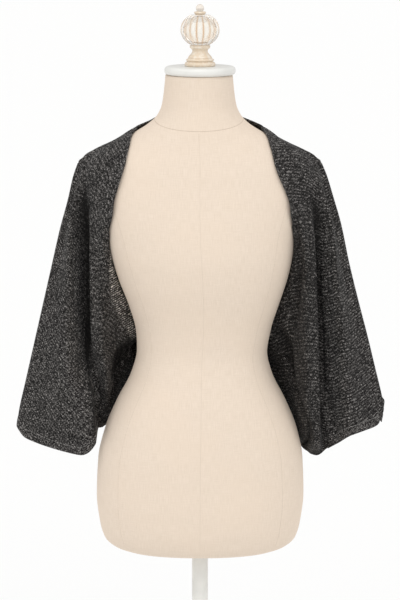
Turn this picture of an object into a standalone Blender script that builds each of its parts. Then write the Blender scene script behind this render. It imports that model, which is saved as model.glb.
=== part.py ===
"""Open knit shrug on a limbless dress form with a turned stand.

The form is a loft of level sections, and its fittings are turned profiles. The cloth is one smooth
sheet, worked out from lines that run down the garment, and cut at its seams into three pieces. Metres,
+Z up. The front faces -Y. The origin is the centre of the foot's underside.
"""
import math
from collections import namedtuple

import bmesh
import bpy
import numpy as np

# Driving dimensions, metres
GAP = 0.0003
CAP_TOP = 1.450
CAP_RADIUS = 0.0562
CAP_HEIGHT = 0.0135
NECK_TOP = CAP_TOP - CAP_HEIGHT - GAP
FORM_BOTTOM = 0.6705
POLE_RADIUS = 0.0130
FOOT_RADIUS = 0.170
FOOT_HEIGHT = 0.028
FOOT_EDGE = 0.0060
FOOT_CHAMFER = 0.0012

# The cloth's wall, how far off the form it sits at the neck, how much further lower down and where that is
# reached, and the gaps at its seams, measured on the cloth's inner side
CLOTH = 0.0020
CLOTH_SEAT = 0.0010
CLOTH_EASE = 0.0020
EASED_BY = 0.15
SEAM_GAP = 0.0012
UNDERARM_GAP = 0.0024

# The finial: pedestal, fluted ball, collar and knob, stacked on the cap
CAP_EDGE = 0.0060
BALL_HEIGHT = 0.0467
BALL_RADIUS = 0.0310
BALL_HALF_HEIGHT = 0.0268
BALL_LOBES = 16
BALL_RINGS = 14
FLUTE = 0.0011
KNOB_RADIUS = 0.0065
KNOB_SINK = 0.0045

# How finely the round pieces are turned
TURN_STEPS = 40
SMALL_TURN_STEPS = 24
POLE_STEPS = 32
FORM_STEPS = 44
EDGE_STEPS = 4
KNOB_ARC_STEPS = 9

# Turned profiles, top to bottom: radius, and height above the piece's own base
PEDESTAL = (
    (0.0148, 0.0330),
    (0.0160, 0.0315),
    (0.0160, 0.0285),
    (0.0128, 0.0262),
    (0.0122, 0.0235),
    (0.0132, 0.0205),
    (0.0165, 0.0165),
    (0.0186, 0.0140),
    (0.0186, 0.0122),
    (0.0220, 0.0102),
    (0.0222, 0.0088),
    (0.0200, 0.0074),
    (0.0226, 0.0058),
    (0.0242, 0.0040),
    (0.0242, 0.0010),
    (0.0232, 0.0000),
)
COLLAR = ((0.0080, 0.0052), (0.0095, 0.0040), (0.0095, 0.0024), (0.0076, 0.0000))
FOOT_TOP = ((0.0300, FOOT_HEIGHT), (0.0340, 0.0250), (0.0380, 0.0180), (0.0800, 0.0150), (0.1500, 0.0130))

# Level sections of the form: height, half width, depth before and behind the middle line, squareness,
# and how far the padding leans to the photo's right
Section = namedtuple("Section", "z half_width front back square lean")
SECTIONS = (
    Section(NECK_TOP, 0.0530, 0.0530, 0.0530, 2.0, -0.0015),
    Section(1.4070, 0.0560, 0.0555, 0.0560, 2.0, -0.0015),
    Section(1.3880, 0.0592, 0.0580, 0.0610, 2.0, -0.0015),
    Section(1.3720, 0.0668, 0.0620, 0.0690, 2.0, -0.0015),
    Section(1.3600, 0.0790, 0.0655, 0.0760, 2.0, -0.0020),
    Section(1.3500, 0.0940, 0.0685, 0.0820, 2.0, -0.0020),
    Section(1.3350, 0.1230, 0.0730, 0.0890, 2.0, -0.0010),
    Section(1.3180, 0.1530, 0.0790, 0.0960, 2.05, 0.0000),
    Section(1.3030, 0.1730, 0.0850, 0.1010, 2.1, 0.0000),
    Section(1.2850, 0.1815, 0.0915, 0.1050, 2.15, 0.0000),
    Section(1.2600, 0.1815, 0.0990, 0.1090, 2.2, 0.0000),
    Section(1.2300, 0.1710, 0.1080, 0.1110, 2.25, 0.0000),
    Section(1.1900, 0.1558, 0.1170, 0.1100, 2.3, 0.0008),
    Section(1.1500, 0.1455, 0.1210, 0.1060, 2.3, 0.0030),
    Section(1.1100, 0.1342, 0.1160, 0.0990, 2.25, 0.0048),
    Section(1.0700, 0.1200, 0.1050, 0.0910, 2.2, 0.0060),
    Section(1.0300, 0.1083, 0.0940, 0.0850, 2.15, 0.0054),
    Section(0.9950, 0.1045, 0.0890, 0.0840, 2.15, 0.0032),
    Section(0.9600, 0.1126, 0.0930, 0.0910, 2.15, 0.0024),
    Section(0.9150, 0.1352, 0.1010, 0.1040, 2.2, 0.0018),
    Section(0.8700, 0.1538, 0.1060, 0.1150, 2.25, 0.0014),
    Section(0.8200, 0.1648, 0.1080, 0.1200, 2.3, 0.0006),
    Section(0.7600, 0.1673, 0.1070, 0.1190, 2.3, 0.0002),
    Section(0.7150, 0.1622, 0.1020, 0.1135, 2.3, 0.0000),
    Section(0.6900, 0.1548, 0.0945, 0.1060, 2.3, 0.0000),
    Section(0.6770, 0.1410, 0.0865, 0.0975, 2.25, 0.0000),
    Section(FORM_BOTTOM, 0.1250, 0.0755, 0.0855, 2.2, 0.0000),
)

# Lines that run down half of the garment, in millimetres: x outwards from the middle and y back from the
# form's centre line. down is 0 along the shoulder seam and the back neck, and 1 along the cuff, the
# underarm seam and the hem. The front's lines come first. The back's share x with them, except at the
# opening's side.
MM = 0.001
Level = namedtuple(
    "Level",
    "down edge_x edge_y hollow_x hollow_y ridge_x ridge_y inner_x inner_y valley_x valley_y"
    " outer_x outer_y crest_x crest_y fold_x",
)
LEFT_LEVELS = (
    Level(0.00, 99, 12, 116, 11, 134, 10, 147, 9, 160, 8, 169, 6, 179, 4, 191),
    Level(0.06, 109, -45, 125, -44, 140, -40, 153, -36, 167, -30, 177, -26, 187, -22, 200),
    Level(0.14, 121, -75, 135, -70, 149, -61, 164, -50, 180, -31, 189, -28, 197, -32, 208),
    Level(0.25, 136, -80, 148, -72, 159, -57, 171, -41, 176, -21, 187, -20, 206, -38, 221),
    Level(0.40, 145, -44, 152, -50, 161, -47, 173, -40, 171, -8, 184, -7, 208, -44, 236),
    Level(0.55, 131, -6, 147, -30, 160, -40, 173, -40, 171, -5, 184, -4, 212, -46, 251),
    Level(0.70, 113, 26, 138, 0, 156, -32, 169, -24, 171, -1, 183, -2, 213, -48, 266),
    Level(0.77, 111, 52, 135, 20, 153, -26, 164, -4, 174, 2, 180, -18, 211, -49, 273),
    Level(0.84, 111, 74, 132, 40, 150, -18, 160, 6, 173, 2, 170, -42, 209, -50, 280),
    Level(0.93, 116, 98, 132, 66, 148, 6, 159, 12, 171, 4, 169, -44, 200, -50, 289),
    Level(1.00, 126, 106, 138, 80, 149, 52, 158, 34, 167, 20, 168, -42, 190, -48, 294),
)
RIGHT_LEVELS = (
    Level(0.00, 96, 12, 112, 11, 130, 10, 143, 9, 156, 8, 166, 6, 177, 4, 190),
    Level(0.06, 108, -45, 123, -44, 138, -40, 151, -36, 165, -30, 176, -26, 186, -22, 200),
    Level(0.14, 122, -75, 136, -70, 150, -61, 165, -51, 177, -40, 186, -37, 196, -34, 210),
    Level(0.25, 142, -77, 153, -70, 165, -60, 177, -51, 180, -32, 190, -28, 208, -40, 223),
    Level(0.40, 152, -38, 160, -46, 171, -52, 182, -48, 181, -14, 194, -12, 214, -44, 236),
    Level(0.55, 137, 0, 154, -16, 171, -50, 185, -46, 183, -6, 197, -5, 222, -46, 251),
    Level(0.70, 116, 30, 143, 12, 172, -50, 188, -46, 186, -4, 200, -3, 229, -48, 267),
    Level(0.84, 111, 74, 143, 36, 174, -46, 190, -44, 188, -2, 203, -3, 235, -50, 281),
    Level(0.93, 116, 96, 146, 60, 175, -32, 191, -34, 195, 0, 211, -8, 241, -50, 290),
    Level(1.00, 126, 106, 150, 78, 172, 40, 188, 18, 207, -4, 223, -30, 243, -48, 296),
)
BackLevel = namedtuple("BackLevel", "down crest_y valley_y ridge_y side_x side_y mid_y")
BACK_UPPER = (
    BackLevel(0.00, 4, 8, 10, 99, 12, 72),
    BackLevel(0.06, 22, 34, 52, 106, 68, 98),
    BackLevel(0.14, 34, 50, 76, 110, 98, 112),
    BackLevel(0.25, 42, 52, 84, 112, 108, 118),
    BackLevel(0.40, 47, 52, 82, 114, 108, 120),
    BackLevel(0.55, 50, 54, 80, 114, 104, 120),
    BackLevel(0.70, 52, 56, 80, 114, 104, 121),
    BackLevel(0.84, 54, 58, 82, 116, 108, 124),
)
LEFT_BACK = BACK_UPPER + (
    BackLevel(0.93, 55, 40, 74, 120, 116, 128),
    BackLevel(1.00, 55, 22, 52, 126, 106, 130),
)
RIGHT_BACK = BACK_UPPER + (
    BackLevel(0.93, 55, 34, 72, 120, 116, 128),
    BackLevel(1.00, 55, -3, 40, 126, 106, 130),
)

# Heights of the lines' ends, one column for each line
Ends = namedtuple(
    "Ends",
    "edge hollow ridge inner valley outer crest lip fold"
    " back_lip back_crest back_valley back_ridge side mid",
)
TOP = Ends(
    1.3530, 1.3425, 1.3320, 1.3258, 1.3202, 1.3150, 1.3100, 1.3040,
    1.3000, 1.3040, 1.3100, 1.3202, 1.3320, 1.3530, 1.3770,
)
LEFT_BOTTOM = Ends(
    0.885, 0.876, 0.867, 0.863, 0.862, 0.852, 0.834, 0.855, 0.871, 0.873, 0.874, 0.862, 0.867, 0.885, 0.900
)
RIGHT_BOTTOM = Ends(
    0.880, 0.848, 0.823, 0.819, 0.835, 0.850, 0.867, 0.875, 0.897, 0.899, 0.890, 0.835, 0.823, 0.880, 0.900
)

# The sleeve's outer fold is rounded between two lips, in from the fold and to each side of it. They start
# close together at the shoulder seam and are full size a little way down.
LIP_IN = 0.012
LIP_DEPTH = 0.013
LIP_IN_START = 0.006
LIP_DEPTH_START = 0.002
LIP_FULL_BY = 0.10

# Grid of the cloth: columns between neighbouring lines, rows down
COLUMNS = (3, 3, 3, 3, 3, 3, 2, 2, 2, 2, 6, 6, 6, 6)
ROWS = 22
ROW_CROWDING = 0.6
FOLD_LINE = 8
UNDERARM_LINE = 4


def remove_all():
    """Empty the scene."""
    for item in list(bpy.data.objects):
        bpy.data.objects.remove(item, do_unlink=True)


def finish(name, colour, roughness, metallic=0.0, transmission=0.0):
    """A plain Principled material."""
    material = bpy.data.materials.new(name)
    material.use_nodes = True
    shader = material.node_tree.nodes["Principled BSDF"]
    shader.inputs["Base Color"].default_value = (*colour, 1.0)
    shader.inputs["Roughness"].default_value = roughness
    shader.inputs["Metallic"].default_value = metallic
    shader.inputs["Transmission Weight"].default_value = transmission
    return material


def collection_named(name):
    """A new collection in the scene."""
    group = bpy.data.collections.new(name)
    bpy.context.scene.collection.children.link(group)
    return group


def add_object(name, mesh, material, group):
    """Put a mesh in the scene as a named object, shaded smooth."""
    mesh.materials.append(material)
    mesh.shade_smooth()
    item = bpy.data.objects.new(name, mesh)
    group.objects.link(item)
    return item


def turned(name, profile, steps, material, group):
    """A turned piece: a profile of (radius, z) points, top to bottom, with a Screw modifier."""
    mesh = bpy.data.meshes.new(name)
    points = [(radius, 0.0, z) for radius, z in profile]
    mesh.from_pydata(points, [(i, i + 1) for i in range(len(points) - 1)], [])
    item = add_object(name, mesh, material, group)
    screw = item.modifiers.new("Screw", "SCREW")
    screw.steps = steps
    screw.render_steps = steps
    screw.use_merge_vertices = True
    screw.merge_threshold = 0.00001
    return item


def arc(centre_radius, centre_z, size, start, stop, count):
    """Points of an arc in the profile plane, angles in degrees from straight up, clockwise."""
    points = []
    for i in range(count + 1):
        angle = math.radians(start + (stop - start) * i / count)
        points.append((centre_radius + size * math.sin(angle), centre_z + size * math.cos(angle)))
    return points


def curve_through(knots, values, places, level_end=False):
    """Read a smooth curve through the values, which never swings past them."""
    knots = np.asarray(knots, float)
    values = np.asarray(values, float)
    step = np.diff(knots)
    slope = np.diff(values) / step
    tangent = np.zeros_like(values)
    both = slope[:-1] * slope[1:]
    same_way = both > 0.0
    total = np.where(same_way, slope[:-1] + slope[1:], 1.0)
    tangent[1:-1] = np.where(same_way, 2.0 * both / total, 0.0)
    tangent[0] = slope[0]
    tangent[-1] = 0.0 if level_end else slope[-1]
    i = np.clip(np.searchsorted(knots, places, side="right") - 1, 0, len(step) - 1)
    u = (places - knots[i]) / step[i]
    rise = values[i + 1] - values[i]
    start = tangent[i] * step[i]
    stop = tangent[i + 1] * step[i]
    return values[i] + start * u + (3 * rise - 2 * start - stop) * u**2 + (start + stop - 2 * rise) * u**3


def form_section(z):
    """The form's half width, front depth, back depth, squareness and lean at a height."""
    heights = [-section.z for section in SECTIONS]
    place = np.array([min(max(-z, heights[0]), heights[-1])])
    columns = zip(*[section[1:] for section in SECTIONS])
    return [float(curve_through(heights, column, place)[0]) for column in columns]


def form_measure(x, y, z):
    """Below 1 inside the form and above 1 outside it."""
    half_width, front, back, square, lean = form_section(z)
    depth = front if y < 0.0 else back
    return ((abs(x - lean) / half_width) ** square + (abs(y) / depth) ** square) ** (1.0 / square)


def seat(point, clearance):
    """Move a point straight out of the form until it is clear of it."""
    x, y, z = point
    if z > NECK_TOP or z < FORM_BOTTOM:
        return point
    probe = 0.0005
    for _ in range(6):
        here = form_measure(x, y, z)
        rise = (
            (form_measure(x + probe, y, z) - form_measure(x - probe, y, z)) / (2 * probe),
            (form_measure(x, y + probe, z) - form_measure(x, y - probe, z)) / (2 * probe),
            (form_measure(x, y, z + probe) - form_measure(x, y, z - probe)) / (2 * probe),
        )
        steep = math.sqrt(sum(value * value for value in rise))
        short = clearance - (here - 1.0) / steep
        if short <= 0.0:
            break
        x += rise[0] / steep * short
        y += rise[1] / steep * short
        z += rise[2] / steep * short
    return x, y, z


def build_form(material, group):
    """The padded body, a loft through level sections."""
    heights = [section.z for section in SECTIONS]
    mesh = bpy.data.meshes.new("form_body")
    work = bmesh.new()
    rings = []
    for z in heights:
        half_width, front, back, square, lean = form_section(z)
        ring = []
        for i in range(FORM_STEPS):
            angle = 2.0 * math.pi * i / FORM_STEPS
            side = math.cos(angle)
            ahead = -math.sin(angle)
            depth = front if ahead < 0.0 else back
            x = lean + half_width * math.copysign(abs(side) ** (2.0 / square), side)
            y = depth * math.copysign(abs(ahead) ** (2.0 / square), ahead)
            ring.append(work.verts.new((x, y, z)))
        rings.append(ring)
    for upper, lower in zip(rings, rings[1:]):
        for i in range(FORM_STEPS):
            j = (i + 1) % FORM_STEPS
            work.faces.new((upper[i], upper[j], lower[j], lower[i]))
    work.faces.new(reversed(rings[0]))
    work.faces.new(rings[-1])
    bmesh.ops.recalc_face_normals(work, faces=work.faces)
    bmesh.ops.triangulate(work, faces=work.faces)
    work.to_mesh(mesh)
    work.free()
    return add_object("form_body", mesh, material, group)


def closed_profile(points, base=0.0):
    """A profile raised by base and closed to the axis at both ends."""
    raised = [(radius, base + height) for radius, height in points]
    return [(0.0, raised[0][1]), *raised, (0.0, raised[-1][1])]


def build_cap(material, group):
    """The round-edged cap on the neck."""
    low = CAP_TOP - CAP_HEIGHT
    points = arc(CAP_RADIUS - CAP_EDGE, CAP_TOP - CAP_EDGE, CAP_EDGE, 0, 90, EDGE_STEPS)
    points += arc(CAP_RADIUS - CAP_EDGE, low + CAP_EDGE, CAP_EDGE, 90, 180, EDGE_STEPS)
    turned("neck_cap", closed_profile(points), TURN_STEPS, material, group)


def build_finial(metal, glass, group):
    """Pedestal, fluted ball, collar and knob, each resting just clear of the one below."""
    base = CAP_TOP + GAP
    turned("finial_pedestal", closed_profile(PEDESTAL, base), TURN_STEPS, metal, group)
    low = base + PEDESTAL[0][1] + GAP
    high = low + BALL_HEIGHT
    build_ball(low, high, glass, group)
    collar_base = high + GAP
    turned("finial_collar", closed_profile(COLLAR, collar_base), SMALL_TURN_STEPS, metal, group)
    knob_base = collar_base + COLLAR[0][1] + GAP
    flat = math.sqrt(KNOB_RADIUS**2 - KNOB_SINK**2)
    widest = math.degrees(math.atan2(flat, -KNOB_SINK))
    knob = arc(0.0, knob_base + KNOB_SINK, KNOB_RADIUS, 0, widest, KNOB_ARC_STEPS)
    turned("finial_knob", knob + [(0.0, knob_base)], SMALL_TURN_STEPS, glass, group)


def build_stand(material, group):
    """The pole and the round foot."""
    foot = list(FOOT_TOP)
    foot += arc(FOOT_RADIUS - FOOT_EDGE, FOOT_EDGE, FOOT_EDGE, 0, 90, EDGE_STEPS)
    foot += [(FOOT_RADIUS, FOOT_CHAMFER), (FOOT_RADIUS - FOOT_CHAMFER, 0.0)]
    turned("stand_foot", closed_profile(foot), TURN_STEPS, material, group)
    pole = [(POLE_RADIUS, FORM_BOTTOM - GAP), (POLE_RADIUS, FOOT_HEIGHT + GAP)]
    turned("stand_pole", closed_profile(pole), POLE_STEPS, material, group)


def build_ball(low, high, material, group):
    """The fluted ball, a flattened sphere with lobes, cut flat where it is held."""
    middle = (low + high) / 2.0
    mesh = bpy.data.meshes.new("finial_ball")
    work = bmesh.new()
    bmesh.ops.create_uvsphere(work, u_segments=BALL_LOBES * 4, v_segments=BALL_RINGS, radius=1.0)
    for vert in work.verts:
        x, y, z = vert.co
        around = math.atan2(y, x)
        out = math.hypot(x, y)
        wide = BALL_RADIUS * out + FLUTE * out * math.cos(BALL_LOBES * around)
        vert.co = (wide * math.cos(around), wide * math.sin(around), middle + BALL_HALF_HEIGHT * z)
    for level, normal in ((high, (0, 0, 1)), (low, (0, 0, -1))):
        parts = work.verts[:] + work.edges[:] + work.faces[:]
        cut = bmesh.ops.bisect_plane(
            work, geom=parts, plane_co=(0, 0, level), plane_no=normal, clear_outer=True
        )
        rim = [part for part in cut["geom_cut"] if isinstance(part, bmesh.types.BMEdge)]
        bmesh.ops.holes_fill(work, edges=rim, sides=0)
    bmesh.ops.recalc_face_normals(work, faces=work.faces)
    work.to_mesh(mesh)
    work.free()
    return add_object("finial_ball", mesh, material, group)


def level_at(levels, down):
    """A table's values at one place down the garment, in metres."""
    knots = [level.down for level in levels]
    place = np.array([down])
    return type(levels[0])(*[float(curve_through(knots, column, place)[0]) * MM for column in zip(*levels)])


def line_points(levels, back_levels, bottom, down):
    """The lines of half the garment at one place down it, as rows of x, y, z."""
    row = level_at(levels, down)
    behind = level_at(back_levels, down)
    lip = min(1.0, down / LIP_FULL_BY)
    lip_in = LIP_IN_START + (LIP_IN - LIP_IN_START) * lip
    lip_depth = LIP_DEPTH_START + (LIP_DEPTH - LIP_DEPTH_START) * lip
    points = [
        (row.edge_x, row.edge_y),
        (row.hollow_x, row.hollow_y),
        (row.ridge_x, row.ridge_y),
        (row.inner_x, row.inner_y),
        (row.valley_x, row.valley_y),
        (row.outer_x, row.outer_y),
        (row.crest_x, row.crest_y),
        (row.fold_x - lip_in, -lip_depth),
        (row.fold_x, 0.0),
        (row.fold_x - lip_in, lip_depth),
        (row.crest_x, behind.crest_y),
        (row.valley_x, behind.valley_y),
        (row.ridge_x, behind.ridge_y),
        (behind.side_x, behind.side_y),
        (0.0, behind.mid_y),
    ]
    heights = [high + (low - high) * down for high, low in zip(TOP, bottom)]
    return [(x, y, z) for (x, y), z in zip(points, heights)]


def row_places():
    """How far down each row of the grid lies, with the rows closer together at the top and the hem."""
    steady = np.arange(ROWS + 1) / ROWS
    return steady - ROW_CROWDING / (2.0 * math.pi) * np.sin(2.0 * math.pi * steady)


def column_places():
    """Where each column of the grid lies along the lines, numbered from 0 at the opening edge."""
    places = [0.0]
    for line, count in enumerate(COLUMNS):
        places += [line + (i + 1) / count for i in range(count)]
    return np.array(places)


def half_sheet(levels, back_levels, bottom, hand):
    """Half of the cloth, from its front opening edge to the middle of the back: rows of points."""
    places = column_places()
    rows = []
    for down in row_places():
        points = line_points(levels, back_levels, bottom, down)
        knots = range(len(points))
        across, back, height = zip(*points)
        x = hand * curve_through(knots, across, places)
        y = curve_through(knots, back, places, level_end=True)
        z = curve_through(knots, height, places, level_end=True)
        clearance = CLOTH_SEAT + CLOTH_EASE * min(1.0, down / EASED_BY)
        rows.append([seat(point, clearance) for point in zip(x, y, z)])
    return rows


def drawn_back(point, neighbour, gap=SEAM_GAP):
    """A seam point moved a little way along the cloth, so that two pieces stay just apart."""
    part = gap / 2.0 / math.dist(point, neighbour)
    return tuple(a + (b - a) * part for a, b in zip(point, neighbour))


def cut_half(rows):
    """Cut half the cloth into its front and its back, parted along the shoulder, arm and underarm."""
    fold = sum(COLUMNS[:FOLD_LINE])
    seam_columns = sum(COLUMNS[:UNDERARM_LINE])
    front = [row[: fold + 1] for row in rows]
    back = [row[fold:] for row in rows]
    back_start = fold - seam_columns
    for i in range(fold + 1):
        back[0][i] = front[0][fold - i]
    for i in range(seam_columns + 1):
        back[-1][back_start + i] = front[-1][seam_columns - i]
    front[0][-1] = drawn_back(front[0][-1], front[1][-2])
    back[0][0] = drawn_back(back[0][0], back[1][1])
    for piece, side, other in ((front, -1, -2), (back, 0, 1)):
        for row in piece[1:]:
            row[side] = drawn_back(row[side], row[other])
    for i in range(fold):
        front[0][i] = drawn_back(front[0][i], front[1][i])
        back[0][i + 1] = drawn_back(back[0][i + 1], back[1][i + 1])
    for i in range(seam_columns + 1):
        front[-1][i] = drawn_back(front[-1][i], front[-2][i], UNDERARM_GAP)
        j = back_start + i
        back[-1][j] = drawn_back(back[-1][j], back[-2][j], UNDERARM_GAP)
    return front, back


def cloth_piece(name, rows, material, group):
    """A piece of cloth: a grid of points with a wall on its outer side."""
    mesh = bpy.data.meshes.new(name)
    work = bmesh.new()
    across = len(rows[0])
    bmesh.ops.create_grid(work, x_segments=across - 1, y_segments=len(rows) - 1, size=1.0)
    work.verts.ensure_lookup_table()
    for vert, point in zip(work.verts, [point for row in rows for point in row]):
        vert.co = point
    bmesh.ops.triangulate(work, faces=work.faces)
    work.to_mesh(mesh)
    work.free()
    item = add_object(name, mesh, material, group)
    wall = item.modifiers.new("Wall", "SOLIDIFY")
    wall.thickness = CLOTH
    wall.offset = 1.0
    wall.use_even_offset = True
    return item


def build_shrug(material, group):
    """Back, left front and right front. Rows run upwards, so that every wall grows outwards."""
    left_front, left_back = cut_half(half_sheet(LEFT_LEVELS, LEFT_BACK, LEFT_BOTTOM, -1.0))
    right_front, right_back = cut_half(half_sheet(RIGHT_LEVELS, RIGHT_BACK, RIGHT_BOTTOM, 1.0))
    left_front = [row[::-1] for row in left_front]
    back = [right + left[:-1][::-1] for left, right in zip(left_back, right_back)]
    cloth_piece("shrug_front_left", left_front[::-1], material, group)
    cloth_piece("shrug_front_right", right_front[::-1], material, group)
    cloth_piece("shrug_back", back[::-1], material, group)


def main():
    """Build every piece."""
    remove_all()
    group = collection_named("knit_shrug_on_dress_form")
    knit = finish("charcoal_knit", (0.035, 0.034, 0.035), 0.75)
    linen = finish("natural_linen", (0.78, 0.66, 0.53), 0.85)
    white = finish("white_paint", (0.84, 0.84, 0.80), 0.35)
    cream = finish("cream_paint", (0.80, 0.68, 0.50), 0.45)
    glass = finish("amber_glass", (0.95, 0.84, 0.68), 0.08, transmission=0.8)
    build_form(linen, group)
    build_cap(white, group)
    build_finial(cream, glass, group)
    build_stand(white, group)
    build_shrug(knit, group)


main()
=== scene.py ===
"""Open knit shrug on a limbless dress form, dressed for rendering.

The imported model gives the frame. The form, its fittings and the three pieces of the shrug are made again here
with finer shapes, seams, hems and stitches, and with procedural finishes. Metres, +Z up, the front faces -Y.
"""
import logging
import math
from dataclasses import dataclass, field
from enum import Enum
from typing import NamedTuple, Sequence

import bmesh
import bpy
import numpy as np
from mathutils import Matrix, Vector


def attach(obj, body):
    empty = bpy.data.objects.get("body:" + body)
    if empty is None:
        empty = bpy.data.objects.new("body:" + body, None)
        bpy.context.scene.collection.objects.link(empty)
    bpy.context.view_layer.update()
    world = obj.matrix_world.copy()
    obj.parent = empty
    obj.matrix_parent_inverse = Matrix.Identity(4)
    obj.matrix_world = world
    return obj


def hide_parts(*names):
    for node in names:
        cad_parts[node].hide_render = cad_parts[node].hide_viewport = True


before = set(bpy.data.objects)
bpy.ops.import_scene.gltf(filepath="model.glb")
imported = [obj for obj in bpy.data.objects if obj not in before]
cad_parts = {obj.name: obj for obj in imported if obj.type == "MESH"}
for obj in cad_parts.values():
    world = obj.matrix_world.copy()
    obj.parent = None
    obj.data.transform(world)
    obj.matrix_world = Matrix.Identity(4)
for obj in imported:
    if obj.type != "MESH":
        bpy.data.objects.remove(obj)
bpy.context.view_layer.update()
LOG = logging.getLogger("scene")
BODY = "root"

# Millimetres in the tables below, as metres, and how close points are joined
MM = 0.001
JOIN = 1e-6

# Short names for types
Socket = bpy.types.NodeSocket
Colour = tuple[float, float, float]

# The frame's own sizes, as in the part's source
GAP = 0.0003
CAP_TOP = 1.450
CAP_RADIUS = 0.0562
CAP_HEIGHT = 0.0135
CAP_EDGE = 0.0060
NECK_TOP = CAP_TOP - CAP_HEIGHT - GAP
FORM_BOTTOM = 0.6705


class Section(NamedTuple):
    """A level section of the padded form."""

    z: float
    half_width: float
    front: float
    back: float
    square: float
    lean: float


SECTIONS = (
    Section(NECK_TOP, 0.0530, 0.0530, 0.0530, 2.0, -0.0015),
    Section(1.4070, 0.0560, 0.0555, 0.0560, 2.0, -0.0015),
    Section(1.3880, 0.0592, 0.0580, 0.0610, 2.0, -0.0015),
    Section(1.3720, 0.0668, 0.0620, 0.0690, 2.0, -0.0015),
    Section(1.3600, 0.0790, 0.0655, 0.0760, 2.0, -0.0020),
    Section(1.3500, 0.0940, 0.0685, 0.0820, 2.0, -0.0020),
    Section(1.3350, 0.1230, 0.0730, 0.0890, 2.0, -0.0010),
    Section(1.3180, 0.1530, 0.0790, 0.0960, 2.05, 0.0000),
    Section(1.3030, 0.1730, 0.0850, 0.1010, 2.1, 0.0000),
    Section(1.2850, 0.1815, 0.0915, 0.1050, 2.15, 0.0000),
    Section(1.2600, 0.1815, 0.0990, 0.1090, 2.2, 0.0000),
    Section(1.2300, 0.1710, 0.1080, 0.1110, 2.25, 0.0000),
    Section(1.1900, 0.1558, 0.1170, 0.1100, 2.3, 0.0008),
    Section(1.1500, 0.1455, 0.1210, 0.1060, 2.3, 0.0030),
    Section(1.1100, 0.1342, 0.1160, 0.0990, 2.25, 0.0048),
    Section(1.0700, 0.1200, 0.1050, 0.0910, 2.2, 0.0060),
    Section(1.0300, 0.1083, 0.0940, 0.0850, 2.15, 0.0054),
    Section(0.9950, 0.1045, 0.0890, 0.0840, 2.15, 0.0032),
    Section(0.9600, 0.1126, 0.0930, 0.0910, 2.15, 0.0024),
    Section(0.9150, 0.1352, 0.1010, 0.1040, 2.2, 0.0018),
    Section(0.8700, 0.1538, 0.1060, 0.1150, 2.25, 0.0014),
    Section(0.8200, 0.1648, 0.1080, 0.1200, 2.3, 0.0006),
    Section(0.7600, 0.1673, 0.1070, 0.1190, 2.3, 0.0002),
    Section(0.7150, 0.1622, 0.1020, 0.1135, 2.3, 0.0000),
    Section(0.6900, 0.1548, 0.0945, 0.1060, 2.3, 0.0000),
    Section(0.6770, 0.1410, 0.0865, 0.0975, 2.25, 0.0000),
    Section(FORM_BOTTOM, 0.1250, 0.0755, 0.0855, 2.2, 0.0000),
)


class Level(NamedTuple):
    """Where the front's lines lie at one place down half of the garment, in millimetres."""

    down: float
    edge_x: float
    edge_y: float
    hollow_x: float
    hollow_y: float
    ridge_x: float
    ridge_y: float
    inner_x: float
    inner_y: float
    valley_x: float
    valley_y: float
    outer_x: float
    outer_y: float
    crest_x: float
    crest_y: float
    fold_x: float


LEFT_LEVELS = (
    Level(0.00, 99, 12, 116, 11, 134, 10, 147, 9, 160, 8, 169, 6, 179, 4, 191),
    Level(0.06, 109, -45, 125, -44, 140, -40, 153, -36, 167, -30, 177, -26, 187, -22, 200),
    Level(0.14, 121, -75, 135, -70, 149, -61, 164, -50, 180, -31, 189, -28, 197, -32, 208),
    Level(0.25, 136, -80, 148, -72, 159, -57, 171, -41, 176, -21, 187, -20, 206, -38, 221),
    Level(0.40, 145, -44, 152, -50, 161, -47, 173, -40, 171, -8, 184, -7, 208, -44, 236),
    Level(0.55, 131, -6, 147, -30, 160, -40, 173, -40, 171, -5, 184, -4, 212, -46, 251),
    Level(0.70, 113, 26, 138, 0, 156, -32, 169, -24, 171, -1, 183, -2, 213, -48, 266),
    Level(0.77, 111, 52, 135, 20, 153, -26, 164, -4, 174, 2, 180, -18, 211, -49, 273),
    Level(0.84, 111, 74, 132, 40, 150, -18, 160, 6, 173, 2, 170, -42, 209, -50, 280),
    Level(0.93, 116, 98, 132, 66, 148, 6, 159, 12, 171, 4, 169, -44, 200, -50, 289),
    Level(1.00, 126, 106, 138, 80, 149, 52, 158, 34, 167, 20, 168, -42, 190, -48, 294),
)
RIGHT_LEVELS = (
    Level(0.00, 96, 12, 112, 11, 130, 10, 143, 9, 156, 8, 166, 6, 177, 4, 190),
    Level(0.06, 108, -45, 123, -44, 138, -40, 151, -36, 165, -30, 176, -26, 186, -22, 200),
    Level(0.14, 122, -75, 136, -70, 150, -61, 165, -51, 177, -40, 186, -37, 196, -34, 210),
    Level(0.25, 142, -77, 153, -70, 165, -60, 177, -51, 180, -32, 190, -28, 208, -40, 223),
    Level(0.40, 152, -38, 160, -46, 171, -52, 182, -48, 181, -14, 194, -12, 214, -44, 236),
    Level(0.55, 137, 0, 154, -16, 171, -50, 185, -46, 183, -6, 197, -5, 222, -46, 251),
    Level(0.70, 116, 30, 143, 12, 172, -50, 188, -46, 186, -4, 200, -3, 229, -48, 267),
    Level(0.84, 111, 74, 143, 36, 174, -46, 190, -44, 188, -2, 203, -3, 235, -50, 281),
    Level(0.93, 116, 96, 146, 60, 175, -32, 191, -34, 195, 0, 211, -8, 241, -50, 290),
    Level(1.00, 126, 106, 150, 78, 172, 40, 188, 18, 207, -4, 223, -30, 243, -48, 296),
)


class BackLevel(NamedTuple):
    """Where the back's lines lie at one place down it, in millimetres."""

    down: float
    crest_y: float
    valley_y: float
    ridge_y: float
    side_x: float
    side_y: float
    mid_y: float


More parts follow.
